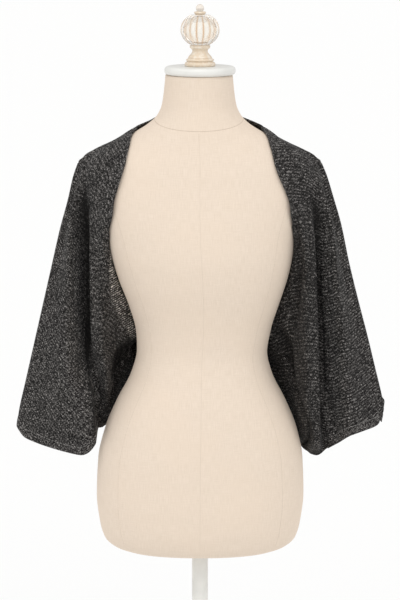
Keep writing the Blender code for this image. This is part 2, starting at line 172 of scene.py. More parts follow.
BACK_UPPER = (
    BackLevel(0.00, 4, 8, 10, 99, 12, 72),
    BackLevel(0.06, 22, 34, 52, 106, 68, 98),
    BackLevel(0.14, 34, 50, 76, 110, 98, 112),
    BackLevel(0.25, 42, 52, 84, 112, 108, 118),
    BackLevel(0.40, 47, 52, 82, 114, 108, 120),
    BackLevel(0.55, 50, 54, 80, 114, 104, 120),
    BackLevel(0.70, 52, 56, 80, 114, 104, 121),
    BackLevel(0.84, 54, 58, 82, 116, 108, 124),
)
LEFT_BACK = BACK_UPPER + (
    BackLevel(0.93, 55, 40, 74, 120, 116, 128),
    BackLevel(1.00, 55, 22, 52, 126, 106, 130),
)
RIGHT_BACK = BACK_UPPER + (
    BackLevel(0.93, 55, 34, 72, 120, 116, 128),
    BackLevel(1.00, 55, -3, 40, 126, 106, 130),
)


class Line(Enum):
    """The lines that run down half of the garment, numbered from the front's opening edge."""

    EDGE = 0
    HOLLOW = 1
    RIDGE = 2
    INNER = 3
    VALLEY = 4
    OUTER = 5
    CREST = 6
    LIP = 7
    FOLD = 8
    BACK_LIP = 9
    BACK_CREST = 10
    BACK_VALLEY = 11
    BACK_RIDGE = 12
    SIDE = 13
    MID = 14


# Heights of the lines' ends, one for each line
TOP = (
    1.3530, 1.3425, 1.3320, 1.3258, 1.3202, 1.3150, 1.3100, 1.3040,
    1.3000, 1.3040, 1.3100, 1.3202, 1.3320, 1.3530, 1.3770,
)
LEFT_BOTTOM = (
    0.885, 0.876, 0.867, 0.863, 0.862, 0.852, 0.834, 0.855,
    0.871, 0.873, 0.874, 0.862, 0.867, 0.885, 0.900,
)
RIGHT_BOTTOM = (
    0.880, 0.848, 0.823, 0.819, 0.835, 0.850, 0.867, 0.875,
    0.897, 0.899, 0.890, 0.835, 0.823, 0.880, 0.900,
)


def curve_through(knots: Sequence[float], values: Sequence[float], places: np.ndarray,
                  level_end: bool = False) -> np.ndarray:
    """Read a smooth curve through the values, which never swings past them.

    Args:
        knots: Where the values lie.
        values: The values.
        places: Where to read the curve.
        level_end: Whether the curve ends level.

    Returns:
        The curve's values at the places.
    """
    knots = np.asarray(knots, float)
    values = np.asarray(values, float)
    step = np.diff(knots)
    slope = np.diff(values) / step
    tangent = np.zeros_like(values)
    same_way = slope[:-1] * slope[1:] > 0.0
    total = np.where(same_way, slope[:-1] + slope[1:], 1.0)
    tangent[1:-1] = np.where(same_way, 2.0 * slope[:-1] * slope[1:] / total, 0.0)
    tangent[0] = slope[0]
    tangent[-1] = 0.0 if level_end else slope[-1]
    i = np.clip(np.searchsorted(knots, places, side="right") - 1, 0, len(step) - 1)
    u = (places - knots[i]) / step[i]
    rise = values[i + 1] - values[i]
    start = tangent[i] * step[i]
    stop = tangent[i + 1] * step[i]
    return values[i] + start * u + (3 * rise - 2 * start - stop) * u**2 + (start + stop - 2 * rise) * u**3


def smooth_step(value: np.ndarray) -> np.ndarray:
    """Rise softly from 0 to 1 as the value does."""
    value = np.clip(value, 0.0, 1.0)
    return value * value * (3.0 - 2.0 * value)


def unit(vectors: np.ndarray) -> np.ndarray:
    """Give the vectors a length of 1."""
    return vectors / (np.linalg.norm(vectors, axis=-1, keepdims=True) + 1e-12)


def along(points: np.ndarray) -> np.ndarray:
    """Lengths along a line of points, from its first point."""
    return lengths_over(points[None], 1)[0]


def lengths_over(points: np.ndarray, axis: int) -> np.ndarray:
    """Lengths over a grid of points along one of its axes, from the first point of each line."""
    steps = np.linalg.norm(np.diff(points, axis=axis), axis=2)
    return np.insert(np.cumsum(steps, axis=axis), 0, 0.0, axis=axis)


def level_at(levels: Sequence[NamedTuple], down: float) -> NamedTuple:
    """Read a table at one place down the garment.

    Args:
        levels: The table's rows, in millimetres.
        down: The place, from 0 at the shoulder to 1.

    Returns:
        A row for that place, in metres.
    """
    knots = [level.down for level in levels]
    values = [float(curve_through(knots, column, np.array([down]))[0]) for column in zip(*levels)]
    return type(levels[0])(*[value * MM for value in values])


def read_grid(grid: np.ndarray, down: np.ndarray, across: np.ndarray) -> np.ndarray:
    """Read values between the points of a grid.

    Args:
        grid: Rows of values.
        down: Fractional rows.
        across: Fractional columns.

    Returns:
        The values there.
    """
    i = np.clip(down.astype(int), 0, grid.shape[0] - 2)
    j = np.clip(across.astype(int), 0, grid.shape[1] - 2)
    u = (down - i)[:, None]
    v = (across - j)[:, None]
    upper = grid[i, j] * (1.0 - v) + grid[i, j + 1] * v
    lower = grid[i + 1, j] * (1.0 - v) + grid[i + 1, j + 1] * v
    return upper * (1.0 - u) + lower * u


class Graph:
    """A material's node tree, with short ways to add the usual nodes."""

    def __init__(self, name: str) -> None:
        """Start a material with a Principled shader.

        Args:
            name: Its name.
        """
        self.material = bpy.data.materials.new(name)
        self.material.use_nodes = True
        self.tree = self.material.node_tree
        self.shader = self.tree.nodes["Principled BSDF"]

    def node(self, kind: str, inputs: dict | None = None, **settings: object) -> bpy.types.Node:
        """Add a node.

        Args:
            kind: Its type.
            inputs: Numbers, colours or outputs for its inputs, by name or place.
            settings: Its plain properties.

        Returns:
            The node.
        """
        made = self.tree.nodes.new(kind)
        for key, value in settings.items():
            setattr(made, key, value)
        for socket, value in (inputs or {}).items():
            self.feed(made.inputs[socket], value)
        return made

    def feed(self, socket: Socket, value: object) -> None:
        """Link a socket to an output, or set its plain value.

        Args:
            socket: The input.
            value: An output, a colour or a number.
        """
        if isinstance(value, Socket):
            self.tree.links.new(value, socket)
        elif isinstance(value, tuple) and len(value) == 3 and socket.type == "RGBA":
            socket.default_value = (*value, 1.0)
        else:
            socket.default_value = value

    def set(self, **sockets: object) -> None:
        """Set or link the shader's inputs, named with underscores for spaces."""
        for name, value in sockets.items():
            self.feed(self.shader.inputs[name.replace("_", " ")], value)

    def place(self) -> Socket:
        """Object coordinates."""
        return self.node("ShaderNodeTexCoord").outputs["Object"]

    def uv(self) -> Socket:
        """The piece's own UV map, in metres."""
        return self.node("ShaderNodeUVMap", uv_map="cloth").outputs[0]

    def own(self, name: str) -> Socket:
        """One of the mesh's own attributes."""
        return self.node("ShaderNodeAttribute", attribute_name=name).outputs["Fac"]

    def math(self, operation: str, *values: object) -> Socket:
        """Work out a value from numbers or outputs."""
        return self.node("ShaderNodeMath", dict(enumerate(values)), operation=operation).outputs[0]

    def mix(self, factor: object, low: object, high: object) -> Socket:
        """Mix two colours by a factor."""
        return self.node("ShaderNodeMix", {0: factor, 6: low, 7: high}, data_type="RGBA").outputs[2]

    def ramp(self, value: object, low: float, high: float, to_low: float = 0.0,
             to_high: float = 1.0) -> Socket:
        """Map a range of values to another one softly, and hold it at its ends."""
        numbers = dict(enumerate((value, low, high, to_low, to_high)))
        return self.node("ShaderNodeMapRange", numbers, interpolation_type="SMOOTHSTEP").outputs[0]

    def noise(self, vector: object, scale: float, detail: float = 2.0) -> Socket:
        """A Noise texture's value."""
        inputs = {"Vector": vector, "Scale": scale, "Detail": detail}
        return self.node("ShaderNodeTexNoise", inputs).outputs[0]

    def split(self, vector: object) -> Sequence[Socket]:
        """A vector's three parts."""
        return self.node("ShaderNodeSeparateXYZ", {0: vector}).outputs

    def mapped(self, vector: object, scale: tuple[float, float, float],
               turn: tuple[float, float, float] = (0.0, 0.0, 0.0)) -> Socket:
        """Turn a pattern's coordinates, then scale them.

        Args:
            vector: The coordinates.
            scale: The scale along each axis.
            turn: The angle about each axis, in degrees.

        Returns:
            The pattern's coordinates.
        """
        angles = tuple(math.radians(angle) for angle in turn)
        turned = self.node("ShaderNodeMapping", {"Vector": vector, "Rotation": angles})
        return self.node("ShaderNodeMapping", {"Vector": turned.outputs[0], "Scale": scale}).outputs[0]

    def stirred(self, vector: object, scale: float, amount: float) -> Socket:
        """Move coordinates about by a noise.

        Args:
            vector: The coordinates.
            scale: The noise's scale.
            amount: About twice the furthest that they move, in metres.

        Returns:
            The moved coordinates.
        """
        wander = self.node("ShaderNodeTexNoise", {"Vector": vector, "Scale": scale}).outputs["Color"]
        moved = {0: wander, 1: (amount, amount, amount), 2: vector}
        return self.node("ShaderNodeVectorMath", moved, operation="MULTIPLY_ADD").outputs[0]

    def cell_random(self, x: object, y: object) -> Socket:
        """A random value for each cell of a grid of unit cells."""
        cell = self.node("ShaderNodeCombineXYZ", {0: self.math("FLOOR", x), 1: self.math("FLOOR", y)})
        return self.node("ShaderNodeTexWhiteNoise", {"Vector": cell.outputs[0]},
                         noise_dimensions="2D").outputs["Value"]

    def bump(self, height: object, distance: float, strength: float = 1.0) -> None:
        """Raise the surface by a height that is given from 0 to 1."""
        raised = self.node("ShaderNodeBump", {"Height": height, "Distance": distance, "Strength": strength})
        self.set(Normal=raised.outputs[0])


@dataclass(frozen=True)
class KnitFinish:
    """Fine charcoal knit with slanting courses, speckled by light and dark fibres of every tone.

    turn slants its courses and slant its specks, both in degrees. The sizes are in metres.
    """

    name: str
    turn: float
    slant: float
    speck: tuple[float, float, float] = (0.0014, 0.0035, 0.0011)
    stitch_length: float = 0.0042
    course: float = 0.0034
    course_shift: float = 7.0
    wander: tuple[tuple[float, float], ...] = ((26.0, 0.0060), (210.0, 0.0012))
    patch_scale: float = 38.0
    patch_contrast: float = 1.2
    contrast: float = 2.8
    dot: float = 0.0035
    dot_slant: float = 24.0
    dot_wander: tuple[float, float] = (180.0, 0.0045)
    gap_light: float = 0.50
    # How far the painted shade of the creases darkens the yarn's colour
    painted_shade_depth: float = 0.93
    gap_colour: Colour = (0.0065, 0.0060, 0.0057)
    light_colour: Colour = (0.40, 0.378, 0.36)
    trim_colour: Colour = (0.80, 0.755, 0.70)

    def material(self) -> bpy.types.Material:
        """Build the material on the cloth's UV map, its trim, the painted shade and light of its creases, and
        Object coordinates.

        Returns:
            The material.
        """
        g = Graph(self.name)
        uv = g.uv()
        place = g.place()
        trim = g.own("trim")
        x, y = g.split(self.wandering(g, uv))[:2]
        x = g.math("MULTIPLY_ADD", g.cell_random(0.0, y), self.course_shift, x)
        loop = self.loop(g, x, y)
        patch = g.math("SUBTRACT", g.noise(uv, self.patch_scale, 3.0), 0.5)
        power = g.math("MULTIPLY_ADD", patch, -self.patch_contrast, self.contrast)
        light = g.math("POWER", self.specks(g, place), power)
        light = g.math("MULTIPLY", light, g.math("MULTIPLY_ADD", g.cell_random(x, y), 0.5, 0.5))
        light = g.math("MULTIPLY", light, g.ramp(loop, 0.0, 1.0, self.gap_light, 1.0))
        light = g.math("MULTIPLY_ADD", trim, g.math("SUBTRACT", self.dots(g, place), light), light)
        # Painted shade from the creases darkens the yarn's colour, and painted light lightens it where the
        # shade is below 0
        light = g.math("MULTIPLY", light, g.math("MULTIPLY_ADD", g.own("shade"), -self.painted_shade_depth, 1.0))
        yarn = g.mix(trim, self.light_colour, self.trim_colour)
        g.set(Base_Color=g.mix(light, self.gap_colour, yarn), Roughness=g.ramp(light, 0.3, 0.9, 0.9, 0.5))
        g.set(Sheen_Weight=0.03, Sheen_Roughness=0.5, Specular_IOR_Level=0.12)
        g.bump(loop, 0.0008, 0.4)
        return g.material

    def slanted(self, g: Graph, place: Socket, turn: float,
                size: tuple[float, float, float]) -> Socket:
        """Coordinates turned about Y, with one unit for each cell of a size."""
        return g.mapped(place, tuple(1.0 / side for side in size), (0.0, turn, 0.0))

    def specks(self, g: Graph, place: Socket) -> Socket:
        """A random tone for each fibre that shows.

        Args:
            g: The material's node tree.
            place: Object coordinates.

        Returns:
            The tone.
        """
        slanted = self.slanted(g, place, self.slant, self.speck)
        cell = g.node("ShaderNodeVectorMath", {0: slanted}, operation="FLOOR")
        return g.node("ShaderNodeTexWhiteNoise", {"Vector": cell.outputs[0]},
                      noise_dimensions="3D").outputs["Value"]

    def dots(self, g: Graph, place: Socket) -> Socket:
        """The trim's rows of round dots, some brighter than others.

        Args:
            g: The material's node tree.
            place: Object coordinates.

        Returns:
            How bright it is.
        """
        stirred = g.stirred(place, *self.dot_wander)
        x, _, row = g.split(self.slanted(g, stirred, self.dot_slant, (self.dot, 1.0, self.dot)))
        x = g.math("MULTIPLY_ADD", g.math("FLOOR", row), 0.5, x)
        tone = g.math("MULTIPLY_ADD", g.cell_random(x, row), 0.90, 0.10)
        return g.math("MULTIPLY", g.ramp(self.loop(g, x, row), 0.0, 1.0, 0.06, 1.0), tone)

    def wandering(self, g: Graph, uv: Socket) -> Socket:
        """Coordinates with one unit for each stitch and course, which wander so that no course is straight.

        Args:
            g: The material's node tree.
            uv: The cloth's flat coordinates.

        Returns:
            The new coordinates.
        """
        for scale, amount in self.wander:
            uv = g.stirred(uv, scale, amount)
        return g.mapped(uv, (1.0 / self.stitch_length, 1.0 / self.course, 1.0), (0.0, 0.0, self.turn))

    def loop(self, g: Graph, x: Socket, y: Socket) -> Socket:
        """The rounded shape of each stitch.

        Args:
            g: The material's node tree.
            x: The coordinate along the courses, one unit for a stitch.
            y: The coordinate across them, one unit for a course.

        Returns:
            The height, from 0 in the gaps to 1 on the yarn.
        """
        squares = []
        for part, size in ((x, 1.9), (y, 2.8)):
            off = g.math("SUBTRACT", g.math("FRACT", part), 0.5)
            squares.append(g.math("POWER", g.math("MULTIPLY", off, size), 2.0))
        return g.ramp(g.math("ADD", *squares), 1.0, 0.25)


@dataclass(frozen=True)
class ThreadFinish:
    """Silver-grey sewing thread with a fine twist."""

    name: str = "silver_thread"
    colour: Colour = (0.24, 0.23, 0.22)
    dark: Colour = (0.10, 0.095, 0.09)

    def material(self) -> bpy.types.Material:
        """Build the material on Object coordinates.

        Returns:
            The material.
        """
        g = Graph(self.name)
        twist = g.noise(g.place(), 1600.0, 2.0)
        g.set(Base_Color=g.mix(g.ramp(twist, 0.35, 0.65), self.dark, self.colour), Roughness=0.5)
        g.bump(twist, 0.0001, 0.5)
        return g.material


@dataclass(frozen=True)
class LinenFinish:
    """Plain natural linen drawn tight, with fine slubs both ways.

    dark and warm are shares of its colour, thread is a thread's width and slub is how many to the metre.
    """

    name: str
    colour: Colour = (0.785, 0.670, 0.560)
    dark: Colour = (0.90, 0.885, 0.86)
    warm: Colour = (0.99, 0.965, 0.93)
    thread: float = 0.0011
    slub: float = 60.0

    def material(self) -> bpy.types.Material:
        """Build the material on the form's UV map.

        Returns:
            The material.
        """
        g = Graph(self.name)
        uv = g.uv()
        upright = g.noise(g.mapped(uv, (1.0 / self.thread, self.slub, 1.0)), 1.0, 3.0)
        level = g.noise(g.mapped(uv, (self.slub, 1.0 / self.thread, 1.0)), 1.0, 3.0)
        streak = g.math("ADD", g.math("MULTIPLY", upright, 0.6), g.math("MULTIPLY", level, 0.4))
        darker, warm = [tuple(c * s for c, s in zip(self.colour, tone)) for tone in (self.dark, self.warm)]
        colour = g.mix(g.ramp(streak, 0.30, 0.70), darker, self.colour)
        cloud = g.ramp(g.noise(uv, 9.0, 3.0), 0.35, 0.7, 0.0, 0.35)
        g.set(Base_Color=g.mix(cloud, colour, warm), Roughness=0.85)
        g.set(Sheen_Weight=0.60, Sheen_Roughness=0.5, Sheen_Tint=self.colour, Specular_IOR_Level=0.25)
        g.bump(streak, 0.0004, 0.5)
        return g.material


@dataclass(frozen=True)
class PaintFinish:
    """Paint on wood or metal, slightly uneven and worn in places to its second colour."""

    name: str
    colour: Colour
    rub_colour: Colour
    roughness: float = 0.35
    coat: float = 0.2
    mottle: float = 90.0

    def material(self) -> bpy.types.Material:
        """Build the material on Object coordinates.

        Returns:
            The material.
        """
        g = Graph(self.name)
        place = g.place()
        cloud = g.noise(place, self.mottle, 4.0)
        g.set(Base_Color=g.mix(g.ramp(cloud, 0.42, 0.68), self.colour, self.rub_colour))
        g.set(Roughness=g.ramp(cloud, 0.2, 0.8, self.roughness - 0.05, self.roughness + 0.12))
        g.set(Coat_Weight=self.coat, Coat_Roughness=0.25)
        g.bump(g.noise(place, 700.0, 2.0), 0.0001, 0.4)
        return g.material


@dataclass(frozen=True)
class GlassFinish:
    """Clear glass with a faint tint, fine waviness and warmer ribs."""

    name: str
    colour: Colour
    roughness: float = 0.03
    ior: float = 1.25
    ribs: int = 0
    rib_colour: Colour = (0.86, 0.69, 0.53)
    clearness: float = 0.82

    def material(self) -> bpy.types.Material:
        """Build the material on Object coordinates.

        Returns:
            The material.
        """
        g = Graph(self.name)
        place = g.place()
        wave = g.noise(place, 120.0, 2.0)
        paler = tuple(min(1.0, c * 1.03) for c in self.colour)
        colour = g.mix(g.ramp(wave, 0.3, 0.7), self.colour, paler)
        if self.ribs:
            x, y = g.split(place)[:2]
            turns = g.math("MULTIPLY", g.math("ARCTAN2", y, x), self.ribs / (2.0 * math.pi))
            apart = g.math("ABSOLUTE", g.math("SUBTRACT", g.math("FRACT", turns), 0.5))
            colour = g.mix(g.ramp(apart, 0.26, 0.0), colour, self.rib_colour)
        g.set(Base_Color=colour, Roughness=self.roughness)
        g.set(Transmission_Weight=self.clearness, IOR=self.ior)
        g.bump(wave, 0.0006, 0.25)
        return g.material


def piece_from(work: bmesh.types.BMesh, name: str, material: bpy.types.Material,
               replaces: Sequence[str] = ()) -> bpy.types.Object:
    """Turn a finished bmesh into a piece that rides on the body.

    Args:
        work: The shape, which is freed.
        name: The piece's name.
        material: Its finish.
        replaces: The CAD nodes that it stands for.

    Returns:
        The piece.
    """
    mesh = bpy.data.meshes.new(name)
    work.to_mesh(mesh)
    work.free()
    mesh.materials.append(material)
    mesh.shade_smooth()
    item = bpy.data.objects.new(name, mesh)
    bpy.context.scene.collection.objects.link(item)
    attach(item, BODY)
    if replaces:
        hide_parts(*replaces)
    return item


def close_ends(work: bmesh.types.BMesh) -> None:
    """Fill a shape's open ends and turn its faces outwards."""
    rim = [edge for edge in work.edges if edge.is_boundary]
    bmesh.ops.holes_fill(work, edges=rim, sides=0)
    bmesh.ops.recalc_face_normals(work, faces=work.faces)


def grid_shape(points: np.ndarray, uv: np.ndarray | None = None) -> bmesh.types.BMesh:
    """A grid bent to the points.

    Args:
        points: Rows of points.
        uv: Rows of UV places, in metres, or none.

    Returns:
        The bent grid.
    """
    down, across = points.shape[:2]
    work = bmesh.new()
    bmesh.ops.create_grid(work, x_segments=across - 1, y_segments=down - 1, size=1.0)
    work.verts.ensure_lookup_table()
    for vert, point in zip(work.verts, points.reshape(-1, 3)):
        vert.co = point
    if uv is not None:
        layer = work.loops.layers.uv.new("cloth")
        flat = uv.reshape(-1, 2)
        for face in work.faces:
            for loop in face.loops:
                loop[layer].uv = flat[loop.vert.index]
    return work


def strip_shape(path: np.ndarray, side: np.ndarray, up: np.ndarray, half_wide: float | np.ndarray,
                half_thick: float, square: float = 2.0, steps: int = 12) -> bmesh.types.BMesh:
    """A rounded strip swept along a path.

    Args:
        path: Points along its middle.
        side: The unit direction of its width at each point.
        up: The unit direction of its thickness at each point.
        half_wide: Half its width, or that at each point.
        half_thick: Half its thickness.
        square: How square its section is, 2 for an ellipse.
        steps: Faces round it.

    Returns:
        The swept shape, closed at both ends.
    """
    turn = np.linspace(0.0, 2.0 * math.pi, steps + 1)
    wide = np.asarray(half_wide)[..., None] * np.sign(np.cos(turn)) * np.abs(np.cos(turn)) ** (2.0 / square)
    thick = half_thick * np.sign(np.sin(turn)) * np.abs(np.sin(turn)) ** (2.0 / square)
    points = path[:, None] + side[:, None] * wide[..., None] + up[:, None] * thick[:, None]
    lengths = np.broadcast_to(along(path)[:, None], points.shape[:2])
    uv = np.stack([lengths, np.broadcast_to(wide, points.shape[:2])], axis=-1)
    work = grid_shape(points, uv)
    bmesh.ops.remove_doubles(work, verts=work.verts, dist=JOIN)
    close_ends(work)
    return work


@dataclass
class FormShape:
    """The padded form's surface, worked out from its sections."""

    sections: Sequence[Section] = SECTIONS

    def at(self, z: np.ndarray) -> list[np.ndarray]:
        """Read the sections at some heights.

        Args:
            z: The heights.

        Returns:
            The half width, front depth, back depth, squareness and lean there.
        """
        heights = [-section.z for section in self.sections]
        place = np.clip(-np.asarray(z, float), heights[0], heights[-1])
        return [curve_through(heights, column, place) for column in list(zip(*self.sections))[1:]]

    def point(self, angle: np.ndarray, z: np.ndarray) -> np.ndarray:
        """Points of the surface.

        Args:
            angle: Angles round the form, 0 at +X and growing towards the front.
            z: Their heights.

        Returns:
            The points.
        """
        half_width, front, back, square, lean = self.at(z)
        side = np.cos(angle)
        ahead = -np.sin(angle)
        depth = np.where(ahead < 0.0, front, back)
        x = lean + half_width * np.sign(side) * np.abs(side) ** (2.0 / square)
        y = depth * np.sign(ahead) * np.abs(ahead) ** (2.0 / square)
        return np.stack([x, y, np.broadcast_to(z, x.shape)], axis=-1)

    def measure(self, points: np.ndarray) -> np.ndarray:
        """Tell inside from outside.

        Args:
            points: The points.

        Returns:
            Values below 1 inside the form and above 1 outside it.
        """
        x, y, z = points[..., 0], points[..., 1], points[..., 2]
        half_width, front, back, square, lean = self.at(z)
        depth = np.where(y < 0.0, front, back)
        return ((np.abs(x - lean) / half_width) ** square + (np.abs(y) / depth) ** square) ** (1.0 / square)

    def seat(self, points: np.ndarray, clearance: np.ndarray) -> np.ndarray:
        """Move points straight out of the form until they are clear of it.

        Args:
            points: The points.
            clearance: How far from the form each must be.

        Returns:
            The moved points.
        """
        points = points.copy()
        beside = (points[..., 2] < NECK_TOP) & (points[..., 2] > FORM_BOTTOM)
        for _ in range(6):
            apart, out = self.distance(points)
            short = np.where(beside, np.maximum(clearance - apart, 0.0), 0.0)
            points += out * short[..., None]
        return points

    def distance(self, points: np.ndarray) -> tuple[np.ndarray, np.ndarray]:
        """Measure how far points are from the form.

        Args:
            points: The points.

        Returns:
            About how far each is, below 0 inside, and its direction straight out of the form.
        """
        probe = 0.0005
        rise = [(self.measure(points + axis) - self.measure(points - axis)) / (2.0 * probe)
                for axis in np.eye(3) * probe]
        rise = np.stack(rise, axis=-1)
        steep = np.linalg.norm(rise, axis=-1)
        return (self.measure(points) - 1.0) / steep, rise / steep[..., None]

    def drawn_in(self, points: np.ndarray, clearance: np.ndarray, share: np.ndarray) -> np.ndarray:
        """Points drawn in towards the form by a share of their way to the clearance."""
        apart, out = self.distance(points)
        return points - out * (np.maximum(apart - clearance, 0.0) * share)[..., None]


class Crease(NamedTuple):
    """A soft trough or ridge that runs over the cloth.

    path holds its knots, each a place across the lines and a place down them. width is half its width and
    height is how far it stands out, below 0 for a trough, both in metres. dark is how much painted shade
    it lays on the yarn's colour, and below 0 how much painted light.
    """

    path: tuple[tuple[float, float], ...]
    width: float
    height: float
    dark: float = 0.0


# In both tables, a crease's fourth value is painted shade on the yarn along it, and painted light where it is
# below 0
LEFT_CREASES = (
    Crease(((3.7, 0.10), (4.3, 0.20), (4.6, 0.38), (4.7, 0.62), (4.8, 0.76)), 0.009, -0.0020, 0.95),
    Crease(((4.8, 0.56), (4.85, 0.66), (4.95, 0.75), (5.08, 0.86), (5.08, 1.00)), 0.0045, 0.0, 1.00),
    Crease(((3.5, 0.74), (3.6, 0.84), (3.7, 0.94)), 0.008, 0.0, -0.80),
    Crease(((1.5, 0.50), (1.6, 0.70), (1.9, 0.90), (2.0, 1.00)), 0.030, 0.0, 0.15),
    Crease(((0.0, 0.725), (0.2, 0.745), (0.5, 0.755)), 0.004, -0.0040, 0.60),
    Crease(((1.2, 0.60), (0.9, 0.68), (0.7, 0.74)), 0.006, 0.0025),
    Crease(((0.8, 0.72), (0.8, 0.79), (1.4, 0.88), (2.4, 0.96)), 0.010, -0.0090, 0.25),
    Crease(((2.3, 0.60), (2.5, 0.78), (2.8, 0.98)), 0.007, 0.0035),
    Crease(((1.7, 0.30), (1.9, 0.45), (2.1, 0.62)), 0.009, -0.0025),
    Crease(((0.9, 0.10), (1.2, 0.22), (1.4, 0.36)), 0.012, 0.0020),
    Crease(((2.4, 0.04), (2.9, 0.12), (3.3, 0.22)), 0.010, -0.0022),
    Crease(((6.3, 0.30), (6.5, 0.60), (6.8, 0.99)), 0.013, -0.0022),
    Crease(((5.4, 0.35), (5.6, 0.65), (5.7, 0.99)), 0.010, 0.0018),
    Crease(((5.2, 0.02), (5.9, 0.09), (6.6, 0.17)), 0.010, -0.0020),
    Crease(((10.2, 0.10), (10.4, 0.45), (10.6, 0.99)), 0.014, -0.0030),
    Crease(((11.5, 0.12), (11.6, 0.50), (11.8, 0.97)), 0.014, -0.0050, 0.15),
    Crease(((12.4, 0.30), (12.5, 0.60), (12.6, 0.99)), 0.012, 0.0030),
    Crease(((13.4, 0.55), (13.35, 0.80), (13.3, 0.99)), 0.012, -0.0045, 0.15),
    Crease(((13.75, 0.62), (13.7, 0.99)), 0.009, -0.0025),
    Crease(((11.1, 0.95), (12.1, 0.86), (13.0, 0.80)), 0.008, 0.0030),
    Crease(((11.3, 0.98), (12.3, 0.92), (13.2, 0.89)), 0.008, -0.0028),
    Crease(((12.7, 0.06), (12.9, 0.28), (13.2, 0.50)), 0.016, 0.0022),
)
RIGHT_CREASES = (
    Crease(((3.9, 0.12), (4.3, 0.22), (4.4, 0.42), (4.4, 0.66)), 0.007, -0.0020, 0.80),
    Crease(((4.35, 0.60), (4.36, 0.76), (4.3, 0.85), (3.7, 0.92), (3.0, 1.00)), 0.0040, 0.0, 1.15),
    Crease(((5.3, 0.22), (5.3, 0.42), (5.3, 0.62), (5.25, 0.80), (4.9, 0.91), (4.6, 1.00)),
           0.010, 0.0050, -1.00),
    Crease(((1.6, 0.22), (1.8, 0.45), (1.8, 0.72), (2.0, 1.00)), 0.026, 0.0, 0.36),
    Crease(((7.2, 1.00), (8.0, 1.00), (8.8, 1.00)), 0.003, -0.0100),
    Crease(((7.4, 0.968), (8.0, 0.965), (8.6, 0.968)), 0.004, 0.0025),
    Crease(((0.9, 0.18), (0.9, 0.36), (1.0, 0.52), (1.1, 0.66)), 0.008, -0.0060),
    Crease(((1.6, 0.20), (1.7, 0.45), (1.8, 0.72)), 0.008, 0.0025),
    Crease(((0.8, 0.64), (1.0, 0.73), (1.3, 0.80)), 0.013, -0.0100, 0.25),
    Crease(((1.2, 0.78), (1.7, 0.85), (2.0, 0.91), (1.8, 0.99)), 0.006, -0.0070, 0.50),
    Crease(((1.6, 0.74), (2.1, 0.84), (2.3, 0.92), (2.2, 0.99)), 0.006, 0.0035),
    Crease(((0.5, 0.80), (0.9, 0.90), (1.2, 0.98)), 0.007, 0.0030),
    Crease(((2.2, 0.05), (2.6, 0.14), (2.8, 0.26)), 0.010, -0.0022),
    Crease(((6.2, 0.34), (6.3, 0.60), (6.5, 0.99)), 0.013, -0.0022),
    Crease(((5.3, 0.30), (5.4, 0.65), (5.5, 0.99)), 0.010, 0.0018),
    Crease(((5.1, 0.02), (5.8, 0.08), (6.5, 0.16)), 0.010, -0.0020),
    Crease(((10.3, 0.12), (10.4, 0.50), (10.5, 0.99)), 0.014, -0.0026),
    Crease(((11.6, 0.10), (11.6, 0.48), (11.6, 0.95)), 0.013, -0.0050, 0.15),
    Crease(((12.3, 0.35), (12.5, 0.66), (12.7, 0.99)), 0.013, 0.0028),
    Crease(((13.35, 0.50), (13.4, 0.78), (13.45, 0.99)), 0.013, -0.0045, 0.15),
    Crease(((11.0, 0.94), (12.0, 0.84), (12.9, 0.77)), 0.008, 0.0028),
    Crease(((11.2, 0.98), (12.2, 0.91), (13.1, 0.87)), 0.008, -0.0030),
    Crease(((12.6, 0.08), (12.8, 0.30), (13.0, 0.52)), 0.016, 0.0020),
)


class Hand(Enum):
    """The two halves of the garment, as the photo shows them."""

    LEFT = -1.0
    RIGHT = 1.0


